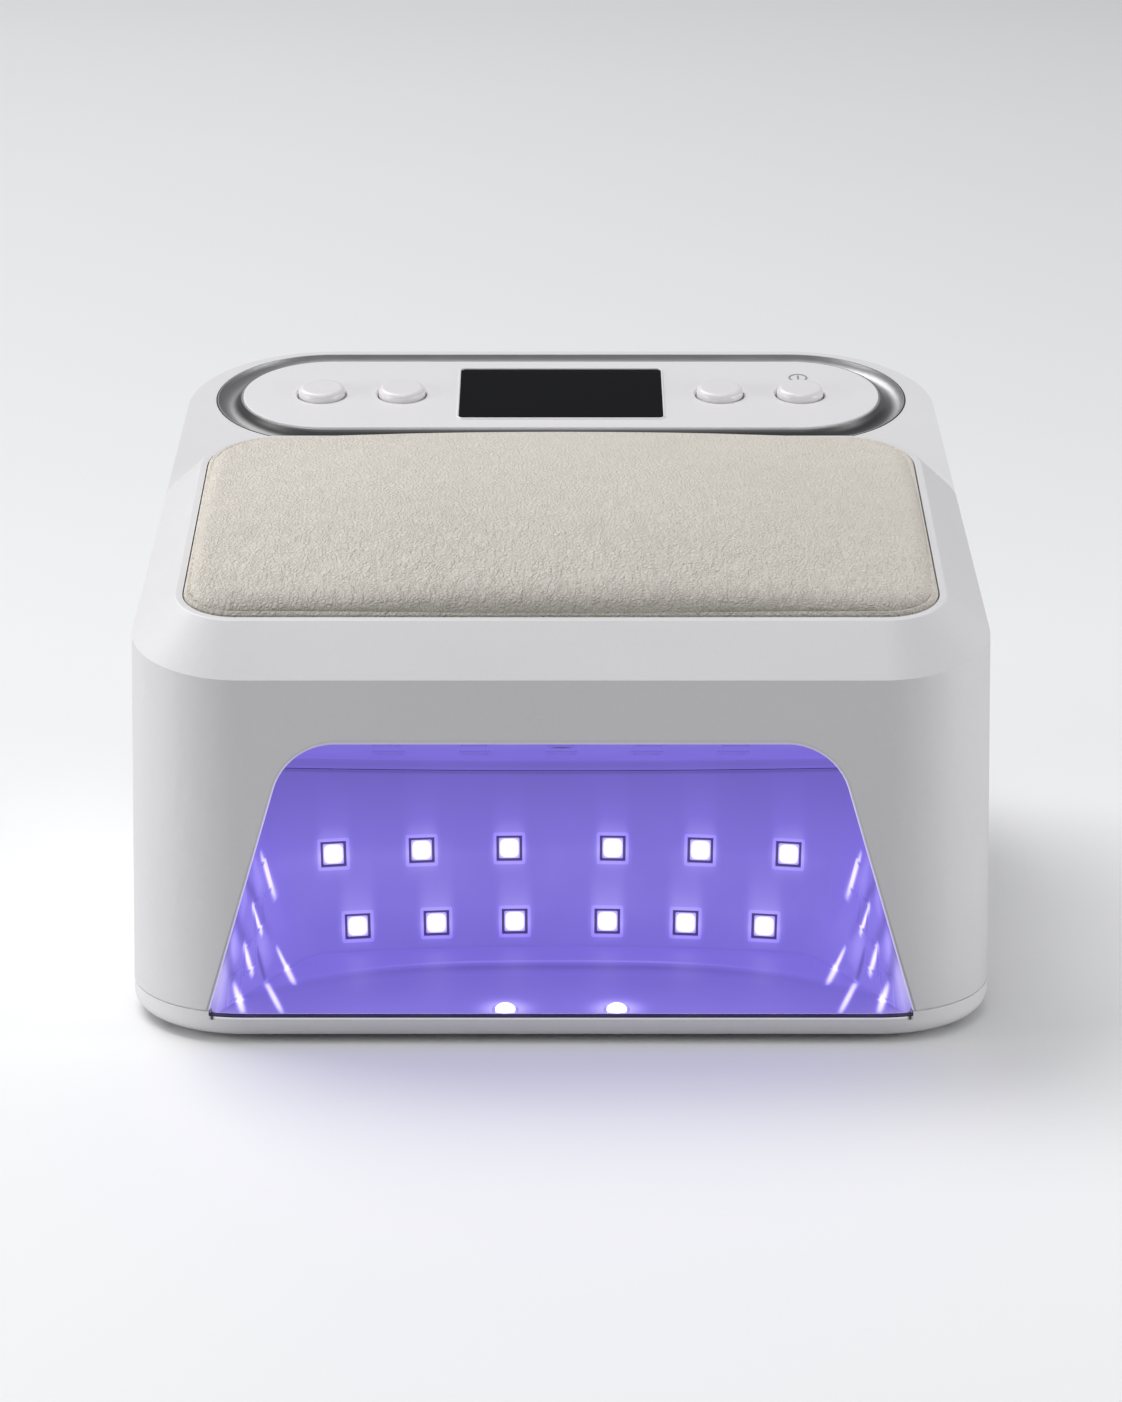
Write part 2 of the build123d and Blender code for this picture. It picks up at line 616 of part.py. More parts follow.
def arm_pad_cushion():
    """Cushion with drawn-in sides, a crowned top and a rolled edge."""
    low = PLATFORM_RISE - POCKET_DEPTH + PAD_BOARD
    top = PLATFORM_RISE + PAD_CROWN
    block = loft([TOP.offset(low - PAD_ROLL) * pocket_outline(PAD_GAP + PAD_WAIST),
                  TOP.offset(top + 1) * pocket_outline(PAD_GAP)], ruled=True)
    cushion = block & crown_form(top)
    crown = cushion.faces().filter_by(GeomType.REVOLUTION)[0]
    return split(fillet(crown.edges(), PAD_ROLL), bisect_by=TOP.offset(low), keep=Keep.TOP)


# Control panel

def panel_trim_ring():
    """Dished metal ring with a ledge that carries the panel."""
    inner = PANEL_R + CLEAR
    section_plane = Plane(origin=TOP.from_local_coords((0, PANEL_V, 0)), x_dir=TOP.y_dir, z_dir=TOP.x_dir)
    dish_in = inner + 0.9
    dish_out = RING_R - 0.4
    section = make_face(Curve() + [
        Polyline((dish_out, 0.1), (RING_R, 0.1), (RING_R, -RING_DEPTH), (inner - RING_LEDGE, -RING_DEPTH),
                 (inner - RING_LEDGE, RING_LEDGE_THICK - RING_DEPTH), (inner, RING_LEDGE_THICK - RING_DEPTH),
                 (inner, 0.6), (inner + 0.6, 0.6), (dish_in, -0.2)),
        ThreePointArc((dish_in, -0.2), ((dish_in + dish_out) / 2, -RING_DISH), (dish_out, 0.1)),
    ])
    straight = extrude(section_plane * section, amount=PANEL_SPAN / 2, both=True)
    straight += mirror(straight, about=Plane(TOP.from_local_coords((0, PANEL_V, 0)), z_dir=TOP.y_dir))
    ends = []
    for side in (-1, 1):
        centre = TOP.from_local_coords((side * PANEL_SPAN / 2, PANEL_V, 0))
        plane = Plane(origin=centre, x_dir=TOP.y_dir, z_dir=TOP.x_dir)
        ends.append(revolve(plane * section, axis=Axis(centre, TOP.z_dir), revolution_arc=side * -180))
    return straight + ends


def control_panel():
    high = PANEL_RISE
    low = high - PANEL_THICK
    panel = top_slab(stadium(PANEL_R), low, high)
    panel = fillet(edges_at(panel, high), PANEL_EDGE_R)
    lens = Pos(0, PANEL_V) * RectangleRounded(DISPLAY_WIDTH + 2 * CLEAR, DISPLAY_HEIGHT + 2 * CLEAR, DISPLAY_R)
    through = Pos(0, PANEL_V) * Rectangle(DISPLAY_WIDTH - 2 * DISPLAY_LEDGE, DISPLAY_HEIGHT - 2 * DISPLAY_LEDGE)
    panel -= top_slab(lens, high - DISPLAY_LENS - 0.1, high + 1)
    panel -= top_slab(through, low - 1, high)
    for x in BUTTON_X:
        hole = Pos(x, PANEL_V) * Circle(BUTTON_R + BUTTON_HOLE_GAP)
        flare = Pos(x, PANEL_V) * Circle(BUTTON_R + BUTTON_HOLE_GAP + 0.5)
        panel -= top_slab(hole, low - 1, high + 1)
        panel -= loft([TOP.offset(high - 0.5) * hole, TOP.offset(high) * flare])
    post = Circle(CONTROL_POST_R)
    bore = Circle(SMALL_SCREW_R + CLEAR / 2)
    for u, v in control_post_spots():
        panel += top_slab(Pos(u, v) * post, board_top_h(), low)
        panel -= top_slab(Pos(u, v) * bore, board_top_h() - 1, low + 0.8)
    return panel


def board_top_h():
    """Height of the control board's face: the switches reach up to the buttons' stems."""
    flange_low = PANEL_RISE - PANEL_THICK - CLEAR - BUTTON_FLANGE
    return flange_low - 1.0 - PLUNGER_SHOWS - SWITCH_HEIGHT


def control_post_spots():
    """Two posts between the buttons of each pair."""
    x = (INNER_BUTTON_X + OUTER_BUTTON_X) / 2
    return [(side * x, PANEL_V + v) for side in (-1, 1) for v in (-CONTROL_POST_V, CONTROL_POST_V)]


def push_button(x):
    """Round cap with a domed edge, a flange that holds it in, and a stem to the switch."""
    flange_high = PANEL_RISE - PANEL_THICK - CLEAR
    top = PANEL_RISE + BUTTON_RISE
    cap = top_slab(Pos(x, PANEL_V) * Circle(BUTTON_R), flange_high - 0.1, top)
    cap = fillet(edges_at(cap, top), BUTTON_EDGE_R)
    cap += top_slab(Pos(x, PANEL_V) * Circle(BUTTON_FLANGE_R), flange_high - BUTTON_FLANGE, flange_high)
    stem_low = board_top_h() + SWITCH_HEIGHT + PLUNGER_SHOWS
    return cap + top_slab(Pos(x, PANEL_V) * Circle(BUTTON_STEM_R), stem_low, flange_high)


def switch_plunger(x):
    high = board_top_h() + SWITCH_HEIGHT + PLUNGER_SHOWS
    return top_slab(Pos(x, PANEL_V) * Circle(PLUNGER_R), board_top_h() + 1.2 + BUTTON_TRAVEL, high)


def tact_switches():
    low = board_top_h()
    bodies = []
    for x in BUTTON_X:
        spot = Pos(x, PANEL_V)
        body = top_slab(spot * Rectangle(SWITCH_SIZE, SWITCH_SIZE), low, low + SWITCH_HEIGHT)
        bodies.append(body - top_slab(spot * Circle(PLUNGER_R + CLEAR), low + 1, low + SWITCH_HEIGHT + 1))
    return Compound(children=bodies)


def display_window():
    high = PANEL_RISE - 0.1
    lens = Pos(0, PANEL_V) * RectangleRounded(DISPLAY_WIDTH, DISPLAY_HEIGHT, DISPLAY_R)
    return top_slab(lens, high - DISPLAY_LENS, high)


def display_module():
    gap = 2 * DISPLAY_LEDGE + 1.0
    face = Pos(0, PANEL_V) * Rectangle(DISPLAY_WIDTH - gap, DISPLAY_HEIGHT - gap)
    return top_slab(face, board_top_h(), PANEL_RISE - 0.1 - DISPLAY_LENS - 0.2)


def control_board():
    high = board_top_h()
    width = 2 * (OUTER_BUTTON_X + CONTROL_BOARD_END)
    board = top_slab(Pos(0, PANEL_V) * RectangleRounded(width, CONTROL_BOARD_HEIGHT, 4), high - BOARD, high)
    return board - [top_slab(Pos(u, v) * Circle(SMALL_SCREW_R + CLEAR), high - BOARD, high)
                    for u, v in control_post_spots()]


def control_board_screws():
    low = board_top_h() - BOARD
    body = screw(BOARD + SMALL_SCREW_LENGTH, SMALL_SCREW_R, SMALL_HEAD_R, SMALL_HEAD)
    return Compound(children=[TOP.location * Pos(u, v, low) * body for u, v in control_post_spots()])


# Reflector, boards and floor of the hand space

def reflector():
    """Wall and roof of the hand space in one, with the flange that seats on the opening's lip."""
    skin = hand_space(REFLECTOR_WALL) - hand_space(low_z=BASE_FLOOR_Z)
    skin &= body_block(BASE_FLOOR_Z, TALL_Z, SHELL_WALL + TONGUE + 3 * CLEAR)
    flange = hand_space(FLANGE_WIDTH, low_z=SEAM_Z + TONGUE_RISE + SEAT_GAP) - hand_space(low_z=BASE_FLOOR_Z)
    flange = split(flange, bisect_by=front_plane(REFLECTOR_FRONT + FLANGE), keep=Keep.TOP)
    body = skin + (flange & body_block(SEAM_Z, TALL_Z, SHELL_WALL + 2 * CLEAR))
    holes = [from_front(Pos(x, z) * Circle(SMALL_SCREW_R + CLEAR), 0, 3 * REFLECTOR_FRONT)
             for x, z in both_sides(reflector_screw_places())]
    return body - holes


def reflector_parts():
    """The reflector, parted along a seam just under the roof."""
    whole = reflector()
    seam = roof_plane(-ROOF_SEAM_DROP)
    wall = split(whole, bisect_by=seam.offset(-SEAT_GAP), keep=Keep.BOTTOM)
    roof = split(whole, bisect_by=seam.offset(SEAT_GAP), keep=Keep.TOP)
    wall = windowed(wall, back_spots() + side_spots(-1) + side_spots(1))
    roof = windowed(roof, roof_spots())
    sensor = on_spots([roof_spot(0, SENSOR_Y)], Circle(SENSOR_SIZE / 2 + CLEAR), -5, 5)
    return wall, roof - sensor


def hand_sensor():
    spot = roof_spot(0, SENSOR_Y)
    body = on_spots([spot], Rectangle(SENSOR_SIZE + 3, SENSOR_SIZE + 3), -REFLECTOR_WALL - 2, -REFLECTOR_WALL)
    lens = on_spots([spot], Circle(SENSOR_SIZE / 2), -REFLECTOR_WALL - 0.5, -0.3)
    return Part() + body + lens


def reflector_screws():
    body = screw(FLANGE_SCREW_LENGTH, SMALL_SCREW_R, SMALL_HEAD_R, SMALL_HEAD)
    screws = []
    for x, z in both_sides(reflector_screw_places()):
        y = CLEAR / 2 - DEPTH / 2 + REFLECTOR_FRONT + FLANGE + wall_inset(z)
        screws.append(Pos(x, y, z) * Rot(90, 0, 0) * body)
    return Compound(children=screws)


def floor_plan(inset):
    """Plan of the floor plate between the reflector's sides and the sill."""
    near = BASE_WALL + SEAT_GAP
    far = REFLECTOR_FRONT - SEAT_GAP
    plan = reflector_plan(FLOOR_Z - FLOOR_PLATE, -inset)
    plan = fillet(plan.vertices().group_by(Axis.Y)[-1], REFLECTOR_CORNER_R)
    plan &= body_outline(SEAM_Z, BASE_WALL + TONGUE + 3 * CLEAR)
    strip = Pos(0, (near + far - DEPTH) / 2) * Rectangle(OPENING_BOTTOM_WIDTH, far - near)
    return plan + (strip & body_outline(SEAM_Z, near))


def floor_plate():
    plate = extrude(Pos(0, 0, FLOOR_Z - FLOOR_PLATE) * floor_plan(2 * SEAT_GAP), amount=FLOOR_PLATE)
    window = Box(LED_WINDOW, LED_WINDOW, 4 * FLOOR_PLATE)
    return plate - [Pos(side * FLOOR_LED_X, FLOOR_LED_Y, FLOOR_Z) * window for side in (-1, 1)]


def floor_led_board():
    low = BASE_FLOOR_Z
    thick = FLOOR_Z - FLOOR_PLATE - low
    return Pos(0, FLOOR_LED_Y, low + thick / 2) * Box(2 * FLOOR_LED_X + 20, 9, thick)


def floor_leds():
    low = FLOOR_Z - FLOOR_PLATE
    source = Box(LED_SIZE, LED_SIZE, FLOOR_PLATE - 0.2, align=(Align.CENTER, Align.CENTER, Align.MIN))
    return Compound(children=[Pos(side * FLOOR_LED_X, FLOOR_LED_Y, low) * source for side in (-1, 1)])


# Base

def base_tray():
    block = extrude(Pos(0, 0, FOOT_LIFT) * body_outline(SEAM_Z), amount=SEAM_Z - FOOT_LIFT)
    block = fillet(block.edges().group_by(Axis.Z)[0], BASE_EDGE_R)
    tray = block - extrude(Pos(0, 0, BASE_FLOOR_Z) * body_outline(SEAM_Z, BASE_WALL), amount=20)
    inner = SHELL_WALL + CLEAR
    tongue = body_outline(SEAM_Z, inner) - body_outline(SEAM_Z, inner + TONGUE)
    tongue = extrude(Pos(0, 0, BASE_FLOOR_Z - 0.5) * tongue, amount=SEAM_Z + TONGUE_RISE - BASE_FLOOR_Z + 0.5)
    mouth = OPENING_BOTTOM_WIDTH + 2 * OPENING_LIP + 2
    tongue -= Pos(0, -DEPTH / 2, SEAM_Z) * Box(mouth, 2 * REFLECTOR_FRONT, 4 * TONGUE_RISE + 20)
    tray += tongue
    step = Box(OPENING_BOTTOM_WIDTH, 3 * BASE_WALL, 2 * SILL_STEP)
    tray -= Pos(0, -DEPTH / 2, SEAM_Z) * step
    boss = Cylinder(BOSS_R, BOSS_SPLIT_Z - 0.1 - FOOT_LIFT - 0.5, align=(Align.CENTER, Align.CENTER, Align.MIN))
    bosses = Part() + [Pos(x, y, FOOT_LIFT + 0.5) * boss for x, y in both_sides(BOSS_PLACES)]
    tray += bosses & extrude(body_outline(SEAM_Z, SHELL_WALL + 2 * CLEAR), amount=2 * BOSS_SPLIT_Z)
    tray -= boss_bores(SCREW_R + CLEAR, 0, BOSS_SPLIT_Z + 1)
    tray -= boss_bores(SCREW_HEAD_R + 2 * CLEAR, 0, FOOT_LIFT + SCREW_HEAD + 0.6)
    tray += floor_ribs() + main_board_posts()
    foot_seat = Cylinder(FOOT_R + CLEAR, 2 * (FOOT_LIFT + FOOT_INSET))
    tray -= [Pos(x, y, 0) * foot_seat for x, y in both_sides(FOOT_PLACES)]
    return tray - vents()


def floor_ribs():
    """Low ribs that carry the floor plate."""
    height = FLOOR_Z - FLOOR_PLATE - BASE_FLOOR_Z
    rib = Box(110, 2, height)
    return [Pos(0, inward - DEPTH / 2, BASE_FLOOR_Z + height / 2) * rib for inward in FLOOR_RIB_IN]


def vents():
    """Two banks of air slots through the base under the power parts."""
    slot = extrude(Rot(0, 0, 90) * SlotOverall(VENT_LENGTH, VENT_WIDTH), amount=2 * SEAM_Z)
    bank = [VENT_PITCH * (i - (VENTS - 1) / 2) for i in range(VENTS)]
    return [Pos(side * VENT_BANK_X + x, VENT_BANK_Y, 0) * slot for x in bank for side in (-1, 1)]


def rubber_feet():
    foot = Cylinder(FOOT_R, FOOT_LIFT + FOOT_INSET, align=(Align.CENTER, Align.CENTER, Align.MIN))
    foot = chamfer(foot.edges().group_by(Axis.Z)[0], 0.4)
    return Compound(children=[Pos(x, y, 0) * foot for x, y in both_sides(FOOT_PLACES)])


def base_screws():
    body = screw(SCREW_LENGTH, SCREW_R, SCREW_HEAD_R, SCREW_HEAD)
    low = FOOT_LIFT + SCREW_HEAD + 0.6
    return Compound(children=[Pos(x, y, low) * body for x, y in both_sides(BOSS_PLACES)])


# Power parts

def main_board_y():
    """Middle of the main board: its rear edge lies just inside the rear wall."""
    return DEPTH / 2 - SHELL_WALL - 3.5 - MAIN_BOARD_DEPTH / 2


def main_post_places():
    dx = MAIN_BOARD_WIDTH / 2 - 5
    dy = MAIN_BOARD_DEPTH / 2 - 5
    return [(MAIN_BOARD_X + sx * dx, main_board_y() + sy * dy) for sx, sy in ((-1, -1), (1, -1), (-1, 1))]


def main_board_posts():
    height = MAIN_BOARD_Z - BASE_FLOOR_Z
    post = Cylinder(MAIN_POST_R, height + 0.5, align=(Align.CENTER, Align.CENTER, Align.MIN))
    bore = Cylinder(SMALL_SCREW_R + CLEAR / 2, height, align=(Align.CENTER, Align.CENTER, Align.MIN))
    post = Pos(0, 0, BASE_FLOOR_Z - 0.5) * post - Pos(0, 0, BASE_FLOOR_Z + 0.6) * bore
    return [Pos(x, y, 0) * post for x, y in main_post_places()]


def main_board():
    centre = Pos(MAIN_BOARD_X, main_board_y(), MAIN_BOARD_Z + BOARD / 2)
    board = centre * Box(MAIN_BOARD_WIDTH, MAIN_BOARD_DEPTH, BOARD)
    corner = centre * Pos(MAIN_BOARD_WIDTH / 2, MAIN_BOARD_DEPTH / 2, 0)
    board -= corner * Rot(0, 0, 45) * Box(46, 46, 10)
    return board - [Pos(x, y, MAIN_BOARD_Z) * Cylinder(SMALL_SCREW_R + CLEAR, 10) for x, y in main_post_places()]


def main_board_screws():
    body = Rot(180, 0, 0) * screw(SMALL_SCREW_LENGTH, SMALL_SCREW_R, SMALL_HEAD_R, SMALL_HEAD)
    return Compound(children=[Pos(x, y, MAIN_BOARD_Z + BOARD) * body for x, y in main_post_places()])


def main_board_parts():
    """Driver parts on the main board: coils, capacitors, a chip and two plugs."""
    top = MAIN_BOARD_Z + BOARD
    seat = (Align.CENTER, Align.CENTER, Align.MIN)
    parts = [Pos(MAIN_BOARD_X + x, main_board_y() + y, top) * Cylinder(5, 14, align=seat)
             for x, y in ((-24, 6), (-12, 6))]
    parts += [Pos(MAIN_BOARD_X + x, main_board_y() - 10, top) * Box(12, 12, 8, align=seat) for x in (-26, -8)]
    parts += [Pos(MAIN_BOARD_X + 14, main_board_y() - 10, top) * Box(10, 10, 1.6, align=seat)]
    parts += [Pos(MAIN_BOARD_X + x, main_board_y() - 38, top) * Box(14, 6, 7, align=seat) for x in (-16, 8)]
    return Compound(children=parts)


def cradle_width():
    return CELLS * CELL_PITCH + 2 * CRADLE_WALL


def cradle_x():
    """Middle of the cradle, which lies to the left of the main board."""
    return -BOARD_SIDE_GAP - cradle_width() / 2


def cell_places():
    return [(cradle_x() + CELL_PITCH * (i - (CELLS - 1) / 2), CRADLE_Y) for i in range(CELLS)]


def battery_cells():
    cell = Rot(90, 0, 0) * Cylinder(CELL_R, CELL_LENGTH)
    return Compound(children=[Pos(x, y, cell_z()) * cell for x, y in cell_places()])


def cell_z():
    return BASE_FLOOR_Z + 0.2 + CRADLE_WALL + CELL_R


def battery_cradle():
    """Tray whose floor and cross ribs are hollowed to the cells."""
    length = CELL_LENGTH + 2 * CRADLE_WALL + 1
    seat = (Align.CENTER, Align.CENTER, Align.MIN)
    block = Box(cradle_width(), length, CELL_R + CRADLE_WALL, align=seat)
    block = Pos(cradle_x(), CRADLE_Y, BASE_FLOOR_Z + 0.1) * block
    bed = Rot(90, 0, 0) * Cylinder(CELL_R + 0.2, CELL_LENGTH + 0.6)
    return block - [Pos(x, y, cell_z()) * bed for x, y in cell_places()]


def jack_z():
    return MAIN_BOARD_Z + BOARD + JACK_HEIGHT / 2


def dc_jack():
    """Power inlet on the main board, its barrel flush with the rear wall."""
    rear_y = DEPTH / 2 - wall_inset(jack_z()) - 0.2
    body_rear = DEPTH / 2 - SHELL_WALL - 0.6
    body = Pos(JACK_X, body_rear - JACK_LENGTH / 2, jack_z()) * Box(JACK_WIDTH, JACK_LENGTH, JACK_HEIGHT)
    barrel_length = rear_y - body_rear + 2
    barrel = Rot(90, 0, 0) * Cylinder(JACK_BARREL_R, barrel_length)
    barrel = Pos(JACK_X, rear_y - barrel_length / 2, jack_z()) * barrel
    bore = Pos(JACK_X, rear_y - 4.5, jack_z()) * Rot(90, 0, 0) * Cylinder(JACK_BORE_R, 9.02)
    pin = Pos(JACK_X, rear_y - 5.5, jack_z()) * Rot(90, 0, 0) * Cylinder(JACK_PIN_R, 9)
    return body + barrel - bore + pin


def write(name, shape):
    """Export one piece under its name."""
    shape.label = name
    export_step(shape, os.path.join("parts", name + ".step"))


def build_all():
    wall, roof = reflector_parts()
    pieces = {
        "upper_shell": upper_shell(),
        "base_tray": base_tray(),
        "rubber_feet": rubber_feet(),
        "base_screws": base_screws(),
        "floor_plate": floor_plate(),
        "floor_led_board": floor_led_board(),
        "floor_leds": floor_leds(),
        "reflector_wall": wall,
        "reflector_roof": roof,
        "reflector_screws": reflector_screws(),
        "hand_sensor": hand_sensor(),
        "back_led_board": back_led_board(),
        "back_leds": leds(back_spots()),
        "left_led_board": side_led_board(-1),
        "left_leds": leds(side_spots(-1), SIDE_SLACK),
        "right_led_board": side_led_board(1),
        "right_leds": leds(side_spots(1), SIDE_SLACK),
        "roof_led_board": roof_led_board(),
        "roof_leds": leds(roof_spots()),
        "arm_pad_board": arm_pad_board(),
        "arm_pad_cushion": arm_pad_cushion(),
        "arm_pad_screws": arm_pad_screws(),
        "panel_trim_ring": panel_trim_ring(),
        "control_panel": control_panel(),
        "display_window": display_window(),
        "display_module": display_module(),
        "control_board": control_board(),
        "control_board_screws": control_board_screws(),
        "tact_switches": tact_switches(),
        "main_board": main_board(),
        "main_board_parts": main_board_parts(),
        "main_board_screws": main_board_screws(),
        "battery_cells": battery_cells(),
        "battery_cradle": battery_cradle(),
        "dc_jack": dc_jack(),
    }
    for name, x in zip(BUTTON_NAMES, BUTTON_X):
        pieces[name] = push_button(x)
        pieces[name.replace("button", "plunger")] = switch_plunger(x)
    for name, shape in pieces.items():
        write(name, shape)


build_all()
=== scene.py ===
import json
from math import cos, pi, radians, sin, tan

import bpy
from mathutils import Matrix, Vector


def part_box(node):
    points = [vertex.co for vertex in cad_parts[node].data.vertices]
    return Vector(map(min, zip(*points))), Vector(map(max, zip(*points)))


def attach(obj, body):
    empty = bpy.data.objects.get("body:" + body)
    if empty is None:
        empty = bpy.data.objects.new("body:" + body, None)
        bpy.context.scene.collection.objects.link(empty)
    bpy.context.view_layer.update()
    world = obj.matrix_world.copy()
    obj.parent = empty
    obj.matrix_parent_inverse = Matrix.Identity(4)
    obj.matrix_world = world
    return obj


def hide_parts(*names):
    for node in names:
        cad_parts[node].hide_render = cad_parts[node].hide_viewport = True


bl_info = {
    "name": "Nail Lamp Looks",
    "version": (1, 0, 0),
    "blender": (4, 5, 0),
    "location": "3D View > Sidebar > Nail Lamp",
    "description": "Builds the soft pad, the light windows, the marks and the finishes of a nail lamp",
    "category": "Object",
}

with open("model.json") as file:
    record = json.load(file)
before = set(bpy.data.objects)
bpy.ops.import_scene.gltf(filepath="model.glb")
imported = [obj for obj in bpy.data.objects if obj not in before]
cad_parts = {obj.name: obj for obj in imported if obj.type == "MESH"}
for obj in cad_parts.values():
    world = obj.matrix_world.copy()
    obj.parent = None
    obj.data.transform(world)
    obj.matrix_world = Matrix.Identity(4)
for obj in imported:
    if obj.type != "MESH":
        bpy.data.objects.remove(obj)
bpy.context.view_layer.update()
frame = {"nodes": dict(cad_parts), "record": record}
nodes = frame["nodes"]

MM = 0.001

# The sloping top: its angle, its axes and its front edge
TILT = radians(10.5)
TOP_AXES = Matrix.Rotation(TILT, 4, "X")
TOP_ORIGIN = Vector((0.0, -0.10454, 0.0946))

LIGHT_NODES = ("back_leds", "left_leds", "right_leds", "roof_leds", "floor_leds")
SIDE_NODES = ("left_leds", "right_leds")

# A point that every light source faces, and the least area and the spread of the triangles in a source's front face
INSIDE = Vector((0.0, -0.080, 0.034))
FACE_AREA, FACE_REACH = 11e-6, 3 * MM


def middle(node):
    low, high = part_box(node)
    return (low + high) / 2


LENS_MIDDLE = middle("display_window")


def on_top(u, v, h):
    """The point u to the right, v up the slope and h out of the display lens's middle, in millimetres."""
    return LENS_MIDDLE + TOP_AXES @ Vector((u * MM, v * MM, h * MM))


def top_frame(u, v, h):
    return Matrix.Translation(on_top(u, v, h)) @ TOP_AXES


def from_top_edge(v, h):
    """A frame v up the slope and h out of the front edge of the sloping top, in millimetres."""
    return Matrix.Translation(TOP_ORIGIN + TOP_AXES @ Vector((0, v * MM, h * MM))) @ TOP_AXES


# Sizes and colours that a user would change

def colour_choice(name, description, default):
    return bpy.props.FloatVectorProperty(
        name=name, description=description, subtype="COLOR", size=3, min=0, max=1, default=default)


class CasingLook(bpy.types.PropertyGroup):
    colour: colour_choice("Casing Colour", "White of the moulded casing", (0.80, 0.787, 0.793))
    panel_colour: colour_choice("Panel Colour", "White of the control panel", (0.80, 0.785, 0.795))
    button_colour: colour_choice("Button Colour", "White of the push buttons", (0.84, 0.82, 0.825))
    grain: bpy.props.FloatProperty(
        name="Grain Height", description="Height of the moulded grain", unit="LENGTH",
        min=0, max=0.001, default=0.00002, precision=6)


class PadLook(bpy.types.PropertyGroup):
    colour: colour_choice("Leather Colour", "Cream of the pad's cover", (0.78, 0.725, 0.645))
    voxel: bpy.props.FloatProperty(
        name="Voxel", description="Mesh size for the swelling", unit="LENGTH", min=0.001, max=0.01, default=0.0016)
    pressure: bpy.props.FloatProperty(
        name="Pressure", description="Air pressure that swells the pad", min=0, max=20, default=4.0)
    cap: bpy.props.FloatProperty(
        name="Most Swell", description="How far a point of the pad may move", unit="LENGTH",
        min=0, max=0.01, default=0.0028)
    pebble: bpy.props.FloatProperty(
        name="Pebble Size", description="Size of the leather's pebbles", unit="LENGTH",
        min=0.0002, max=0.01, default=0.0011)


class GlowLook(bpy.types.PropertyGroup):
    colour: colour_choice("Glow Colour", "Violet of the lit hand space", (0.168, 0.126, 0.535))
    source_colour: colour_choice("Source Colour", "Colour of the light sources", (1.0, 0.97, 1.0))
    source_power: bpy.props.FloatProperty(
        name="Source Strength", description="Brightness of the light sources", min=0, max=20, default=1.1)
    frame_width: bpy.props.FloatProperty(
        name="Window Width", description="Outer width of a light window's frame", unit="LENGTH",
        min=0.002, max=0.02, default=0.0084)


class StageLook(bpy.types.PropertyGroup):
    floor_colour: colour_choice("Floor Colour", "Pale floor and background", (0.93, 0.93, 0.93))
    camera_place: bpy.props.FloatVectorProperty(
        name="Camera Place", description="Where the camera stands", subtype="TRANSLATION", size=3,
        default=(0.0, -1.0399, 0.3707))
    camera_drop: bpy.props.FloatProperty(
        name="Camera Pitch", description="How far the camera looks down", subtype="ANGLE", default=radians(16.74))
    lens: bpy.props.FloatProperty(
        name="Lens", description="Focal length in millimetres", min=10, max=300, default=102.42)


def look(name):
    return getattr(bpy.context.scene, "nail_lamp_" + name)


# Node helpers

def put(tree, kind, inputs=None, **settings):
    """Add a node, set what it is, and set or join its inputs."""
    made = tree.nodes.new("ShaderNode" + kind)
    for name, value in settings.items():
        setattr(made, name, value)
    for key, value in (inputs or {}).items():
        if isinstance(value, bpy.types.NodeSocket):
            tree.links.new(value, made.inputs[key])
        else:
            made.inputs[key].default_value = value
    return made


def calc(tree, operation, a, b=0.0, c=0.0, clamp=False):
    return put(tree, "Math", {0: a, 1: b, 2: c}, operation=operation, use_clamp=clamp).outputs[0]


def plus(tree, a, b):
    return calc(tree, "ADD", a, b)


def minus(tree, a, b):
    return calc(tree, "SUBTRACT", a, b)


def times(tree, a, b):
    return calc(tree, "MULTIPLY", a, b)


def times_plus(tree, a, b, c):
    return calc(tree, "MULTIPLY_ADD", a, b, c)


def calc_vector(tree, operation, a, b=(0, 0, 0)):
    made = put(tree, "VectorMath", {0: a, 1: b}, operation=operation)
    return made.outputs["Value" if operation in ("DISTANCE", "DOT_PRODUCT") else "Vector"]


def scale_by(tree, vector, share):
    return put(tree, "VectorMath", {0: vector, "Scale": share}, operation="SCALE").outputs["Vector"]


def bell(tree, value):
    """One where the value is zero, falling softly to zero on both sides."""
    return calc(tree, "EXPONENT", times(tree, times(tree, value, value), -1.0))


def mixed(tree, share, a, b):
    return put(tree, "Mix", {0: share, 6: a, 7: b}, data_type="RGBA").outputs[2]


def ranged(tree, value, low, high, to_low=0.0, to_high=1.0):
    return put(tree, "MapRange", {0: value, 1: low, 2: high, 3: to_low, 4: to_high}).outputs[0]


def noise(tree, coords, scale, detail=2.0, roughness=0.5, distortion=0.0):
    return put(tree, "TexNoise", {"Vector": coords, "Scale": scale, "Detail": detail, "Roughness": roughness,
                                  "Distortion": distortion}).outputs["Fac"]


def object_coords(tree):
    return put(tree, "TexCoord").outputs["Object"]


def split_up(tree, vector):
    return put(tree, "SeparateXYZ", {0: vector}).outputs


def place_in_mm(tree):
    return scale_by(tree, object_coords(tree), 1 / MM)


def seen_straight(tree):
    """One on the rays by which the camera sees a surface, also through something clear."""
    path = put(tree, "LightPath").outputs
    return calc(tree, "MAXIMUM", path["Is Camera Ray"], path["Is Transmission Ray"])


def rgba(colour):
    return (*colour, 1.0)


def scaled(colour, share):
    return (colour[0] * share, colour[1] * share, colour[2] * share, 1.0)


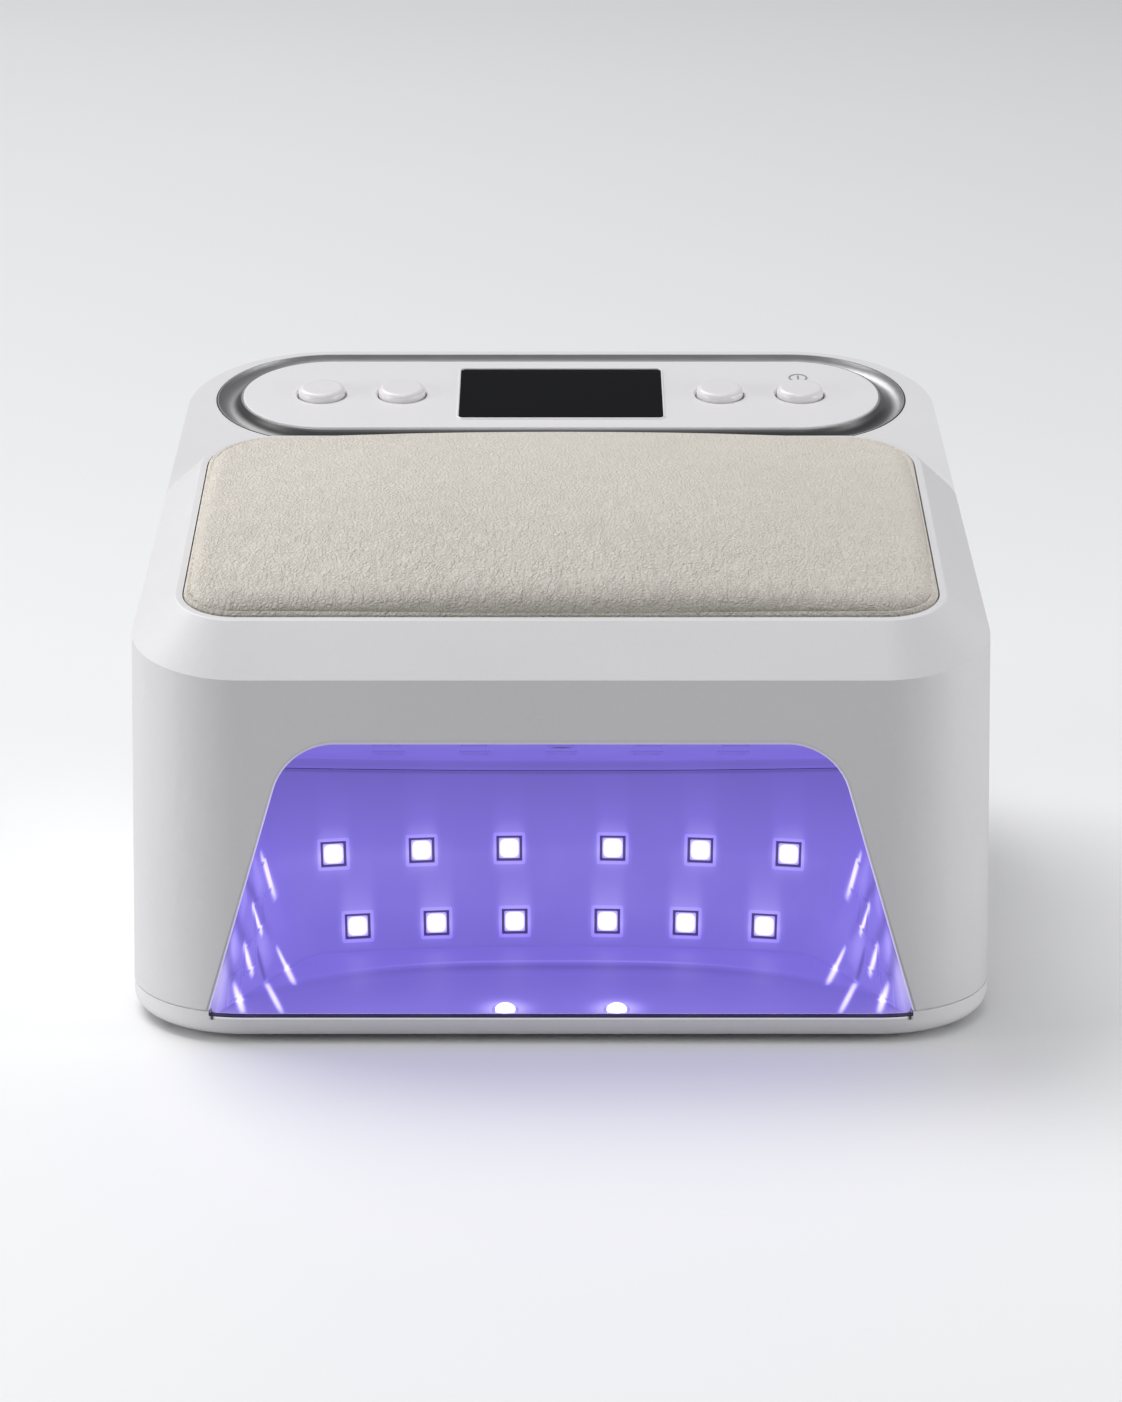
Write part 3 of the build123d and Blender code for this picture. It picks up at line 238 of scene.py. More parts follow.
def new_group(name, inputs, outputs):
    """A shader node group with inputs of these values and outputs of the same kinds as these values."""
    tree = bpy.data.node_groups.new(name, "ShaderNodeTree")
    for way, sockets in (("INPUT", inputs), ("OUTPUT", outputs)):
        for label, value in sockets.items():
            kind = "Float" if isinstance(value, float) else "Color" if len(value) == 4 else "Vector"
            tree.interface.new_socket(label, in_out=way, socket_type="NodeSocket" + kind).default_value = value
    return tree, tree.nodes.new("NodeGroupInput").outputs, tree.nodes.new("NodeGroupOutput")


def give(tree, node, **values):
    """Join values to a node's inputs; an underscore stands for a space."""
    for name, socket in values.items():
        tree.links.new(socket, node.inputs[name.replace("_", " ")])


BLACK = (0, 0, 0, 1)
SURFACE_OUT = {"Color": BLACK, "Roughness": 0.5, "Height": 0.0}
# Outputs of the groups that paint shade (Dark) and light (Light) onto a surface
SHADE_AND_LIGHT_OUT = {"Dark": 0.0, "Light": 0.0}


def moulded_group():
    """Moulded plastic: a faint mottle, a fine grain and light handling marks."""
    tree, data, out = new_group("Moulded Plastic", {
        "Color": (0.8, 0.8, 0.8, 1), "Mottle": 0.05, "Roughness": 0.4, "Grain Scale": 2500.0, "Marks": 0.06},
        SURFACE_OUT)
    place = object_coords(tree)
    cloud = noise(tree, place, 22.0, 3.0)
    grain = noise(tree, place, data["Grain Scale"], 2.0)
    specks = noise(tree, place, 900.0, 1.0)
    shade = times(tree, minus(tree, cloud, 0.5), data["Mottle"])
    speckle = times(tree, minus(tree, specks, 0.5), 0.03)
    level = plus(tree, plus(tree, 1.0, shade), speckle)
    colour = scale_by(tree, data["Color"], level)
    rubbed = put(tree, "Mapping", {"Vector": place, "Scale": (3.0, 14.0, 5.0), "Rotation": (0.3, 0.1, 0.9)})
    marks = ranged(tree, noise(tree, rubbed.outputs[0], 16.0, 4.0, 0.6), 0.5, 0.75)
    rough = plus(tree, data["Roughness"], times(tree, marks, data["Marks"]))
    rough = plus(tree, rough, times(tree, minus(tree, grain, 0.5), 0.05))
    give(tree, out, Color=colour, Roughness=rough, Height=grain)
    return tree


def brushed_group():
    """Metal brushed along a stadium: fine lines at even distances from its centre line, with painted shade across its
    dished channel and a painted shadow line at its outer edge.
    """
    tree, data, out = new_group("Brushed Metal", {
        "Color": (0.6, 0.6, 0.6, 1), "Half Span": 0.066, "Centre": (0, 0, 0), "Line Scale": 5200.0,
        "Contrast": 0.26, "Outer Radius": 1.0, "Painted Channel Shade": 0.0}, SURFACE_OUT)
    place = calc_vector(tree, "SUBTRACT", object_coords(tree), data["Centre"])
    flat = put(tree, "Mapping", {"Vector": place, "Rotation": (-TILT, 0, 0)}).outputs[0]
    right, up, out_of = split_up(tree, flat)
    past = calc(tree, "MAXIMUM", minus(tree, calc(tree, "ABSOLUTE", right), data["Half Span"]), 0.0)
    away = calc(tree, "SQRT", plus(tree, times(tree, past, past), times(tree, up, up)))
    across = times(tree, minus(tree, away, times(tree, out_of, 0.7)), data["Line Scale"])
    along = times(tree, plus(tree, right, times(tree, up, 0.6)), 90.0)
    lines = put(tree, "CombineXYZ", {0: across, 1: along, 2: 0.0}).outputs[0]
    fine = noise(tree, lines, 1.0, 3.0, 0.6)
    broad = noise(tree, put(tree, "Mapping", {"Vector": lines, "Scale": (0.12, 0.3, 1)}).outputs[0], 1.0, 2.0)
    lift = plus(tree, times(tree, fine, 0.7), times(tree, broad, 0.3))
    level = plus(tree, 1.0, times(tree, minus(tree, lift, 0.5), data["Contrast"]))
    edge = minus(tree, data["Outer Radius"], away)
    # Painted shade: darker across the dished channel towards the inner bead, standing in for the dark reflection
    # there, and a painted shadow line at the outer edge
    painted_channel_shade = times(tree, ranged(tree, edge, 0.0008, 0.0060), ranged(tree, edge, 0.0074, 0.0068))
    painted_channel_shade = calc(tree, "MAXIMUM", times(tree, painted_channel_shade, 0.86), ranged(tree, edge, 0.00035, 0.0002))
    level = times(tree, level, minus(tree, 1.0, times(tree, painted_channel_shade, data["Painted Channel Shade"])))
    colour = scale_by(tree, data["Color"], level)
    give(tree, out, Color=colour, Roughness=ranged(tree, lift, 0.3, 0.7, 0.42, 0.58), Height=lift)
    return tree


def leather_group():
    """Pebbled leather: cells with creases between them, pulled into folds towards the front, with painted shade in
    the creases and the folds, along the front edge and towards the front.
    """
    tree, data, out = new_group("Pebbled Leather", {
        "Color": (0.7, 0.65, 0.58, 1), "Pebble": 0.001, "Folds": 1.0, "Front": -0.09}, SURFACE_OUT)
    place = object_coords(tree)
    scale = calc(tree, "DIVIDE", 1.0, data["Pebble"])
    warp = put(tree, "TexNoise", {"Vector": place, "Scale": 130.0, "Detail": 3.0})
    bent = calc_vector(tree, "ADD", place, scale_by(tree, warp.outputs["Color"], 2.2 * MM))
    cells = put(tree, "TexVoronoi", {"Vector": bent, "Scale": scale}, feature="DISTANCE_TO_EDGE").outputs["Distance"]
    pebbles = ranged(tree, cells, 0.0, 0.32)
    small = put(tree, "TexVoronoi", {"Vector": bent, "Scale": times(tree, scale, 2.3)}, feature="F1")
    depth = split_up(tree, place)[1]
    near = ranged(tree, minus(tree, depth, data["Front"]), 0.0, 0.055, 1.0, 0.12)
    lean = put(tree, "Mapping", {"Vector": bent, "Rotation": (0, 0, 0.55), "Scale": (260.0, 95.0, 120.0)})
    folds = noise(tree, lean.outputs[0], 1.9, 3.0, 0.55, 0.6)
    folded = times(tree, times(tree, minus(tree, folds, 0.5), near), times(tree, data["Folds"], 2.2))
    height = plus(tree, times(tree, pebbles, 0.42), folded)
    height = plus(tree, height, times(tree, small.outputs["Distance"], -0.22))
    tone = noise(tree, place, 28.0, 3.0)
    level = plus(tree, 0.955, times(tree, minus(tree, tone, 0.5), 0.10))
    # Painted shade: the creases between the pebbles and the hollows of the folds are darker, their tops lighter
    level = plus(tree, level, times(tree, pebbles, 0.05))
    level = plus(tree, level, times(tree, folded, 0.09))
    # Painted shade along the front edge, and the whole pad darker towards the front
    fore = calc(tree, "DIVIDE", minus(tree, depth, data["Front"]), 0.0062)
    level = times(tree, level, times_plus(tree, bell(tree, fore), -0.3, 1.0))
    level = times(tree, level, ranged(tree, depth, -0.09, 0.0, 0.93, 1.02))
    colour = scale_by(tree, data["Color"], level)
    rough = ranged(tree, height, -0.3, 0.8, 0.56, 0.44)
    give(tree, out, Color=colour, Roughness=rough, Height=height)
    return tree


def halo_group():
    """Light thrown on a wall over and under one window, in millimetres."""
    tree, data, out = new_group("Window Halo", {
        "Across": 0.0, "Up": 0.0, "Half Width": 4.3, "Reach": 6.0}, {"Mask": 0.0})
    side = calc(tree, "POWER", calc(tree, "DIVIDE", calc(tree, "ABSOLUTE", data["Across"]), data["Half Width"]), 5.0)
    above = calc(tree, "DIVIDE", calc(tree, "MAXIMUM", data["Up"], 0.0), data["Reach"])
    below = calc(tree, "DIVIDE", calc(tree, "MINIMUM", data["Up"], 0.0), times(tree, data["Reach"], 0.62))
    below = times(tree, below, below)
    total = plus(tree, plus(tree, side, above), below)
    give(tree, out, Mask=calc(tree, "EXPONENT", times(tree, total, -1.0)))
    return tree


def led_spots(node):
    """Middle of the front face and outward direction of each light source in a CAD node."""
    source = nodes[node].data
    faces = {}
    for face in source.polygons:
        corners = [source.vertices[i].co for i in face.vertices]
        faces.setdefault(tuple(round(x, 3) for x in face.normal), []).append(
            (sum(corners, Vector()) / 3, face.area, face.normal.copy()))
    spots = []
    for group in faces.values():
        for centre, area, normal in group:
            if normal.dot(INSIDE - centre) <= 0 or area < FACE_AREA:
                continue
            near = [s for s in spots if (s[0] / s[2] - centre).length < FACE_REACH]
            if near:
                near[0][0] += centre
                near[0][2] += 1
            else:
                spots.append([centre.copy(), normal, 1])
    return [(total / count, normal) for total, normal, count in spots]


# The hand space in millimetres: the top of its floor; the seam between wall and roof, as height over a plane that
# falls to the rear, with its painted shade line and painted highlight (height, weight); the painted crease of the
# floor, which bends back towards the sides, with its painted highlight and painted shade lines (reach, width, weight)
FLOOR_TOP = 6.0
SEAM_FALL, SEAM_WIDTH = 0.424, 0.42
SEAM_LINES = ((33.1, -0.25), (34.0, 0.10))
CREASE_BEND, CREASE_HALF = 12.5, 65.9
CREASE_LINES = ((-61.6, 0.8, 0.24), (-65.8, 2.1, -0.24), (-71.6, 0.7, 0.06))

# Streaks on the side walls where x is positive: two ends, width and strength, in millimetres. The bright ones are
# painted light, the glow of the side windows and their painted reflections; the dark ones are painted shade lines.
STREAKS = (
    ((77.8, -63.0, 36.6), (74.1, -62.2, 22.4), 1.7, 1.4),
    ((78.7, -81.1, 29.0), (76.7, -75.4, 17.6), 1.0, 1.7),
    ((80.6, -88.6, 21.0), (78.8, -82.7, 9.0), 1.1, 1.7),
    ((83.5, -94.0, 12.5), (80.9, -86.5, 0.5), 1.1, 1.6),
    ((83.8, -79.5, 5.5), (80.0, -100.0, 5.5), 0.9, 1.7),
    ((73.6, -69.5, 12.8), (69.9, -65.8, 1.2), 0.8, 1.5),
    ((73.0, -60.0, 5.5), (68.2, -80.0, 5.5), 0.8, 1.5),
    ((76.4, -75.5, 5.6), (70.0, -100.5, 5.4), 0.8, 1.6),
    ((79.4, -99.0, 46.0), (78.0, -76.0, 27.5), 2.0, -0.5),
    ((78.9, -80.5, 33.5), (74.6, -69.8, 14.5), 1.6, -0.22),
    ((81.2, -109.0, 40.5), (79.9, -84.0, 17.5), 1.8, -0.5),
    ((84.9, -107.0, 32.5), (82.2, -91.0, 8.0), 1.8, -0.5),
    ((77.9, -80.3, 17.0), (75.9, -77.0, 4.5), 0.9, -0.6),
    ((78.3, -76.0, 42.0), (78.0, -69.0, 27.0), 4.6, 0.20),
    ((80.0, -95.0, 42.0), (79.4, -87.0, 29.0), 4.6, 0.20),
    ((82.6, -99.0, 28.0), (81.8, -94.0, 16.0), 4.0, 0.26),
    ((76.8, -78.0, 20.0), (76.2, -74.0, 8.0), 4.0, 0.20),
)
# A painted pale light down the front corner of each side wall (start, end, width)
CORNER_PALE = {"Start": (86.6, -104.0, 27.0), "End": (85.0, -100.0, 2.0), "Width": 5.5}


def streak_group():
    """A thin streak between two points that fades at its ends."""
    tree, data, out = new_group("Light Streak", {
        "Point": (0, 0, 0), "Start": (0, 0, 0), "End": (0, 0, 1), "Width": 1.1}, {"Mask": 0.0})
    run = calc_vector(tree, "SUBTRACT", data["End"], data["Start"])
    gone = calc_vector(tree, "SUBTRACT", data["Point"], data["Start"])
    share = calc(tree, "DIVIDE", calc_vector(tree, "DOT_PRODUCT", gone, run),
                 calc_vector(tree, "DOT_PRODUCT", run, run), clamp=True)
    nearest = scale_by(tree, run, share)
    away = calc(tree, "DIVIDE", calc_vector(tree, "DISTANCE", gone, nearest), data["Width"])
    fade = times(tree, times(tree, share, minus(tree, 1.0, share)), 4.0)
    give(tree, out, Mask=times(tree, bell(tree, away), calc(tree, "POWER", fade, 0.7)))
    return tree


def line_at(tree, value, centre, width):
    """A soft line where the value is near its centre."""
    return bell(tree, calc(tree, "DIVIDE", minus(tree, value, centre), width))


def glow_group(halo, streak):
    """Violet light on the walls of the hand space, from where each point lies in it."""
    tree, data, out = new_group("Hand Space Glow", {
        "Glow": (0.2, 0.15, 0.65, 1), "Pale": (0.385, 0.347, 0.62, 1), "Halo": 0.42}, {"Light": BLACK})
    place = place_in_mm(tree)
    x, y, z = split_up(tree, place)
    wide = calc(tree, "ABSOLUTE", x)
    is_floor = ranged(tree, z, FLOOR_TOP, FLOOR_TOP - 0.2)
    rise = ranged(tree, z, FLOOR_TOP, 16.0, 0.97, 1.05)
    fall = ranged(tree, z, 30.0, 52.0, 1.0, 0.70)
    seam = times_plus(tree, y, SEAM_FALL, z)
    roof = ranged(tree, seam, 35.6, 36.6, 0.0, 0.16)
    wall = plus(tree, times(tree, rise, fall), roof)
    # A painted shade line and a painted highlight along the seam between wall and roof
    for height, weight in SEAM_LINES:
        wall = times_plus(tree, line_at(tree, seam, height, SEAM_WIDTH), weight, wall)
    # Painted halos of light round the back windows
    for centre, normal in led_spots("back_leds"):
        if centre.x > 0:
            across = minus(tree, wide, centre.x / MM)
            up = minus(tree, z, centre.z / MM)
            mask = put(tree, "Group", {"Across": across, "Up": up}, node_tree=halo).outputs["Mask"]
            wall = times_plus(tree, mask, data["Halo"], wall)
    bend = calc(tree, "POWER", calc(tree, "DIVIDE", wide, CREASE_HALF), 3.0)
    depth = times_plus(tree, bend, CREASE_BEND, y)
    floor = ranged(tree, depth, -60.0, -68.0, 0.93, 0.80)
    floor = plus(tree, floor, ranged(tree, depth, -70.0, -96.0, 0.0, 0.16))
    inner = ranged(tree, wide, 25.0, 64.0, 1.0, 0.25)
    # Painted highlight and painted shade lines that draw the floor's crease
    for reach, width, weight in CREASE_LINES:
        line = times(tree, line_at(tree, depth, reach, width), inner)
        floor = times_plus(tree, line, weight, floor)
    # Painted pools of light on the floor round its sources
    for centre, normal in led_spots("floor_leds"):
        if centre.x > 0:
            gone = calc_vector(tree, "DISTANCE", put(tree, "CombineXYZ", {0: wide, 1: y}).outputs[0],
                               (centre.x / MM, centre.y / MM, 0.0))
            floor = times_plus(tree, line_at(tree, gone, 0.0, 5.2), 0.8, floor)
            floor = times_plus(tree, ranged(tree, gone, 11.0, 5.0), 0.08, floor)
    level = put(tree, "Mix", {0: is_floor, 2: wall, 3: floor}).outputs[0]
    here = put(tree, "CombineXYZ", {0: wide, 1: y, 2: z}).outputs[0]
    # Painted glints and reflections of the side windows, and painted shade lines, along the streaks
    for start, end, width, weight in STREAKS:
        mask = put(tree, "Group", {"Point": here, "Start": start, "End": end, "Width": width},
                   node_tree=streak).outputs["Mask"]
        level = times_plus(tree, mask, weight, level)
    cloud = noise(tree, place, 0.045, 2.0)
    level = times(tree, level, ranged(tree, cloud, 0.3, 0.7, 0.97, 1.03))
    # Painted pale light down the corner of the side wall
    corner = put(tree, "Group", {"Point": here, **CORNER_PALE}, node_tree=streak).outputs["Mask"]
    level = times_plus(tree, corner, 0.18, level)
    bright = ranged(tree, level, 1.02, 1.9, 0.0, 0.95)
    pale = calc(tree, "MULTIPLY_ADD", corner, 0.7, bright, clamp=True)
    give(tree, out, Light=scale_by(tree, mixed(tree, pale, data["Glow"], data["Pale"]), level))
    return tree


# How far the opening's sides lean in
MOUTH_LEAN = radians(16.5)


def mouth_group():
    """Painted light and shade round the hand opening, from the distance to its outline: a painted violet glow on the
    lip and a thin painted shade line outside it.
    """
    tree, data, out = new_group("Mouth Glow and Shade", {
        "Top": 78.1, "Half Width": 87.83, "Height": 8.2, "Slope": tan(MOUTH_LEAN), "Corner": 16.0}, SHADE_AND_LIGHT_OUT)
    x, y, z = split_up(tree, place_in_mm(tree))
    drop = minus(tree, data["Height"], z)
    edge = times_plus(tree, drop, data["Slope"], data["Half Width"])
    side = times(tree, minus(tree, calc(tree, "ABSOLUTE", x), edge), cos(MOUTH_LEAN))
    side = plus(tree, side, data["Corner"])
    over = plus(tree, minus(tree, z, data["Top"]), data["Corner"])
    over = calc(tree, "MAXIMUM", over, times(tree, side, sin(MOUTH_LEAN)))
    past = calc(tree, "MAXIMUM", times_plus(tree, over, -sin(MOUTH_LEAN), side), 0.0)
    past = calc(tree, "DIVIDE", past, cos(MOUTH_LEAN))
    away = calc(tree, "SQRT", plus(tree, times(tree, over, over), times(tree, past, past)))
    away = minus(tree, away, data["Corner"])
    front = times(tree, ranged(tree, y, -103.6, -104.4), ranged(tree, z, 6.0, 7.6))
    # Painted light on the lip, given as emission
    lip = times(tree, ranged(tree, away, 0.8, 0.5), ranged(tree, z, 77.5, 64.0, 0.3, 1.0))
    # Painted shade line just outside the lip
    line = times(tree, line_at(tree, away, 1.02, 0.2), ranged(tree, z, 60.0, 20.0, 0.35, 1.0))
    give(tree, out, Light=times(tree, lip, front), Dark=times(tree, line, front))
    return tree


def sill_group():
    """Painted shade and light along the sill: a painted shadow in front of the floor plate and at the sill's ends,
    and a painted highlight on the edge under it.
    """
    tree, data, out = new_group("Sill Shade and Highlight", {"Half Width": 88.3}, SHADE_AND_LIGHT_OUT)
    x, y, z = split_up(tree, place_in_mm(tree))
    wide = calc(tree, "ABSOLUTE", x)
    inside = calc(tree, "LESS_THAN", wide, data["Half Width"])
    low = ranged(tree, wide, 80.0, 88.0, -104.45, -103.6)
    # Painted shadow on the sill's top in front of the floor plate
    sill_shade = times(tree, calc(tree, "LESS_THAN", y, low), calc(tree, "GREATER_THAN", z, 7.15))
    sill_shade = times(tree, sill_shade, inside)
    # Painted shade at both ends of the sill
    ends = times(tree, line_at(tree, wide, 87.5, 0.5), calc(tree, "LESS_THAN", y, -100.0))
    sill_shade = calc(tree, "MAXIMUM", sill_shade, times(tree, ends, ranged(tree, z, 6.0, 6.4)))
    # Painted highlight along the front of the sill, given as emission
    edge = times(tree, ranged(tree, z, 6.55, 6.85), minus(tree, 1.0, sill_shade))
    edge = times(tree, edge, calc(tree, "LESS_THAN", wide, 86.8))
    give(tree, out, Dark=sill_shade, Light=times(tree, edge, calc(tree, "LESS_THAN", y, -104.5)))
    return tree


def board_group():
    """Circuit board: copper traces under lacquer."""
    tree, data, out = new_group("Circuit Board", {
        "Color": (0.03, 0.15, 0.07, 1), "Trace": (0.06, 0.24, 0.11, 1)}, SURFACE_OUT)
    place = object_coords(tree)
    cells = put(tree, "TexVoronoi", {"Vector": place, "Scale": 260.0}, feature="DISTANCE_TO_EDGE").outputs["Distance"]
    brick = put(tree, "TexBrick", {"Vector": place, "Scale": 90.0, "Mortar Size": 0.04}).outputs["Fac"]
    line = calc(tree, "MAXIMUM", ranged(tree, cells, 0.05, 0.03), brick, clamp=True)
    colour = mixed(tree, line, data["Color"], data["Trace"])
    give(tree, out, Color=colour, Roughness=ranged(tree, line, 0.0, 1.0, 0.34, 0.42), Height=line)
    return tree


# Materials

def new_material(name, **constants):
    """A material with one Principled shader whose even values are given."""
    made = bpy.data.materials.new(name)
    made.use_nodes = True
    shader = made.node_tree.nodes["Principled BSDF"]
    for key, value in constants.items():
        shader.inputs[key.replace("_", " ")].default_value = value
    return made, made.node_tree, shader


def raised(tree, height, distance):
    return put(tree, "Bump", {"Height": height, "Distance": distance, "Strength": 1.0}).outputs[0]


def surfaced(name, group, inputs, bump=0.00002, **constants):
    """A material whose colour, roughness and bump come from a surface group."""
    made, tree, shader = new_material(name, **constants)
    surface = put(tree, "Group", inputs, node_tree=group).outputs
    give(tree, shader, Base_Color=surface["Color"], Roughness=surface["Roughness"],
         Normal=raised(tree, surface["Height"], bump))
    return made


# Finishes of plain moulded plastic: name, colour and roughness
PLAIN_FINISHES = {
    "pad_board_black": ("Pad Board", (0.02, 0.02, 0.02), 0.6),
    "display_body": ("Display Body", (0.05, 0.05, 0.05), 0.6),
    "sensor_dark": ("Sensor Lens", (0.05, 0.02, 0.04), 0.12),
    "switch_black": ("Switch Black", (0.02, 0.02, 0.02), 0.45),
    "jack_black": ("Inlet Black", (0.018, 0.018, 0.018), 0.4),
    "cell_wrap": ("Cell Sleeve", (0.03, 0.12, 0.3), 0.28),
    "cradle_black": ("Cradle Black", (0.03, 0.03, 0.03), 0.55),
    "mark_grey": ("Mark Grey", (0.30, 0.295, 0.30), 0.5),
}


def make_materials():
    """Every finish of the lamp, by the record's slot name."""
    casing, pad, glow = look("casing"), look("pad"), look("glow")
    moulded, brushed, leather, board = moulded_group(), brushed_group(), leather_group(), board_group()
    lit = glow_group(halo_group(), streak_group())
    made = {
        "casing_white": surfaced("Casing White", moulded, {
            "Color": rgba(casing.colour), "Roughness": 0.36, "Mottle": 0.05}, casing.grain, Coat_Weight=0.12,
            Coat_Roughness=0.3),
        "base_white": surfaced("Base White", moulded, {
            "Color": scaled(casing.colour, 1.09), "Roughness": 0.38, "Mottle": 0.04}, casing.grain),
        "panel_white": surfaced("Panel White", moulded, {
            "Color": rgba(casing.panel_colour), "Roughness": 0.46, "Mottle": 0.03, "Grain Scale": 3200.0},
            casing.grain * 1.4),
        "button_white": surfaced("Button White", moulded, {
            "Color": rgba(casing.button_colour), "Roughness": 0.32, "Mottle": 0.02, "Marks": 0.1},
            casing.grain * 0.6, Coat_Weight=0.2, Coat_Roughness=0.2),
        # The silver ring carries painted shade across its dished channel and a painted shadow line at its outer edge
        "trim_silver": surfaced("Brushed Silver", brushed, {
            "Color": (0.52, 0.515, 0.52, 1), "Half Span": ring_half_span(), "Centre": tuple(LENS_MIDDLE),
            "Outer Radius": ring_radius(), "Painted Channel Shade": 0.9}, 0.00001, Metallic=1.0),
        "pad_leather": surfaced("Cream Leather", leather, {
            "Color": rgba(pad.colour), "Pebble": pad.pebble, "Front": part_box("arm_pad_cushion")[0].y},
            0.00055, Specular_IOR_Level=0.42),
        "display_black": surfaced("Display Lens", moulded, {
            "Color": (0.008, 0.008, 0.009, 1), "Roughness": 0.09, "Mottle": 0.2, "Marks": 0.06,
            "Grain Scale": 500.0}, 0.000001, Specular_IOR_Level=0.03),
        "circuit_green": surfaced("Circuit Board", board, {}, 0.00003),
        "component_grey": surfaced("Components", moulded, {
            "Color": (0.09, 0.09, 0.10, 1), "Roughness": 0.5, "Mottle": 0.3}),
        "foot_rubber": surfaced("Foot Rubber", moulded, {
            "Color": (0.02, 0.02, 0.02, 1), "Roughness": 0.75, "Grain Scale": 1200.0}, 0.00006),
        "screw_steel": surfaced("Zinc Steel", brushed, {
            "Color": (0.45, 0.45, 0.46, 1), "Half Span": 0.0, "Contrast": 0.2}, 0.00001, Metallic=1.0),
    }
    for slot, (name, colour, roughness) in PLAIN_FINISHES.items():
        made[slot] = surfaced(name, moulded, {"Color": rgba(colour), "Roughness": roughness})
    # Painted shade line and painted violet glow round the hand opening
    mark(made["casing_white"], mouth_group(), (0.2, 0.19, 0.22), 0.45, (0.42, 0.36, 0.72), 0.55)
    # Painted shadow and painted highlight along the sill
    mark(made["base_white"], sill_group(), (0.008, 0.006, 0.02), 1.0, (0.75, 0.72, 0.85), 0.28)
    # The walls, boards and window parts of the hand space glow with painted violet light, given as emission
    made["reflector_silver"] = lit_material("Lit Reflector", lit, (0.14, 0.12, 0.26), 1.0, 0.5, 0.1)
    made["led_board_white"] = lit_material("Light Board", lit, (0.25, 0.22, 0.4), 0.5, 0.5, 0.0)
    made["window_frame"] = lit_material("Window Frame", lit, (0.22, 0.19, 0.42), 1.3, 0.3, 0.0)
    made["window_recess"] = lit_material("Window Recess", lit, (0.03, 0.02, 0.08), 0.2, 0.5, 0.0)
    made["led_lens"] = source_material("Lit Source", glow.source_power)
    made["dim_source"] = source_material("Dim Source", glow.source_power / 3)
    return made


def ring_radius():
    """Radius of the trim ring's round ends, from its box."""
    low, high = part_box("panel_trim_ring")
    return (high.y - low.y) / 2 / cos(TILT)


def ring_half_span():
    """Half the distance between the centres of the trim ring's round ends."""
    low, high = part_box("panel_trim_ring")
    return (high.x - low.x) / 2 - ring_radius()


def mark(made, group, dark, share, light, strength):
    """Lay a group's painted shade over a material's colour and give its painted light as emission."""
    tree = made.node_tree
    shader = tree.nodes["Principled BSDF"]
    marks = put(tree, "Group", node_tree=group).outputs
    plain = shader.inputs["Base Color"].links[0].from_socket
    give(tree, shader, Base_Color=mixed(tree, times(tree, marks["Dark"], share), plain, rgba(dark)),
         Emission_Color=mixed(tree, marks["Light"], BLACK, rgba(light)))
    shader.inputs["Emission Strength"].default_value = strength


def lit_material(name, lit, colour, strength, roughness, metallic):
    made, tree, shader = new_material(name, Metallic=metallic, Emission_Strength=strength)
    place = object_coords(tree)
    # Painted light: the violet glow of the hand space, given as emission
    light = put(tree, "Group", {"Glow": rgba(look("glow").colour)}, node_tree=lit)
    cloud = noise(tree, place, 60.0, 3.0)
    give(tree, shader, Emission_Color=light.outputs["Light"],
         Base_Color=mixed(tree, cloud, scaled(colour, 0.92), scaled(colour, 1.08)),
         Roughness=ranged(tree, cloud, 0.3, 0.7, roughness - 0.04, roughness + 0.06),
         Normal=raised(tree, noise(tree, place, 1800.0, 2.0), 0.00001))
    return made


def source_material(name, power):
    made, tree, shader = new_material(name, Roughness=0.2, Emission_Strength=power)
    cloud = noise(tree, object_coords(tree), 900.0, 1.0)
    off = [calc(tree, "POWER", calc(tree, "ABSOLUTE", minus(tree, way, 0.5)), 4.0)
           for way in split_up(tree, put(tree, "TexCoord").outputs["UV"])[:2]]
    away = times(tree, calc(tree, "POWER", plus(tree, *off), 0.25), 2.0)
    rim = ranged(tree, away, 0.78, 1.0)
    give(tree, shader, Base_Color=mixed(tree, cloud, (0.8, 0.76, 0.95, 1), (0.9, 0.88, 1.0, 1)),
         Emission_Color=mixed(tree, rim, rgba(look("glow").source_colour), (0.24, 0.17, 0.62, 1)))
    return made


finishes = {}


def finish_with(piece, slot, finish=None):
    """Give a new piece the finish of a slot, or the finish named instead, and hang it from the root body."""
    piece.data.materials.clear()
    piece.data.materials.append(finishes[finish or slot])
    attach(piece, "root")


# Modelling helpers

def set_mode(mode):
    bpy.ops.object.mode_set(mode=mode)


def clear_selection():
    if bpy.context.object and bpy.context.object.mode != "OBJECT":
        set_mode("OBJECT")
    bpy.ops.object.select_all(action="DESELECT")


def pick(*pieces):
    clear_selection()
    for piece in pieces:
        piece.select_set(True)
    bpy.context.view_layer.objects.active = pieces[0]


def linked(name, data):
    """A new object in the scene with this mesh, light or camera."""
    made = bpy.data.objects.new(name, data)
    bpy.context.scene.collection.objects.link(made)
    return made


def named(name):
    """The piece just made, under this name."""
    made = bpy.context.object
    made.name = name
    made.data.name = name
    return made


def select_all():
    bpy.ops.mesh.select_all(action="SELECT")


def raise_faces(height):
    """In edit mode, turn a flat piece into a closed one of this height and go back to object mode."""
    select_all()
    bpy.ops.mesh.extrude_region_move(TRANSFORM_OT_translate={"value": (0, 0, height)})
    select_all()
    bpy.ops.mesh.normals_make_consistent(inside=False)
    set_mode("OBJECT")


def select_verts(piece, test):
    """In edit mode, select only the vertices that pass the test."""
    bpy.ops.mesh.select_mode(type="VERT")
    bpy.ops.mesh.select_all(action="DESELECT")
    set_mode("OBJECT")
    for vertex in piece.data.vertices:
        vertex.select = bool(test(vertex.co))
    set_mode("EDIT")


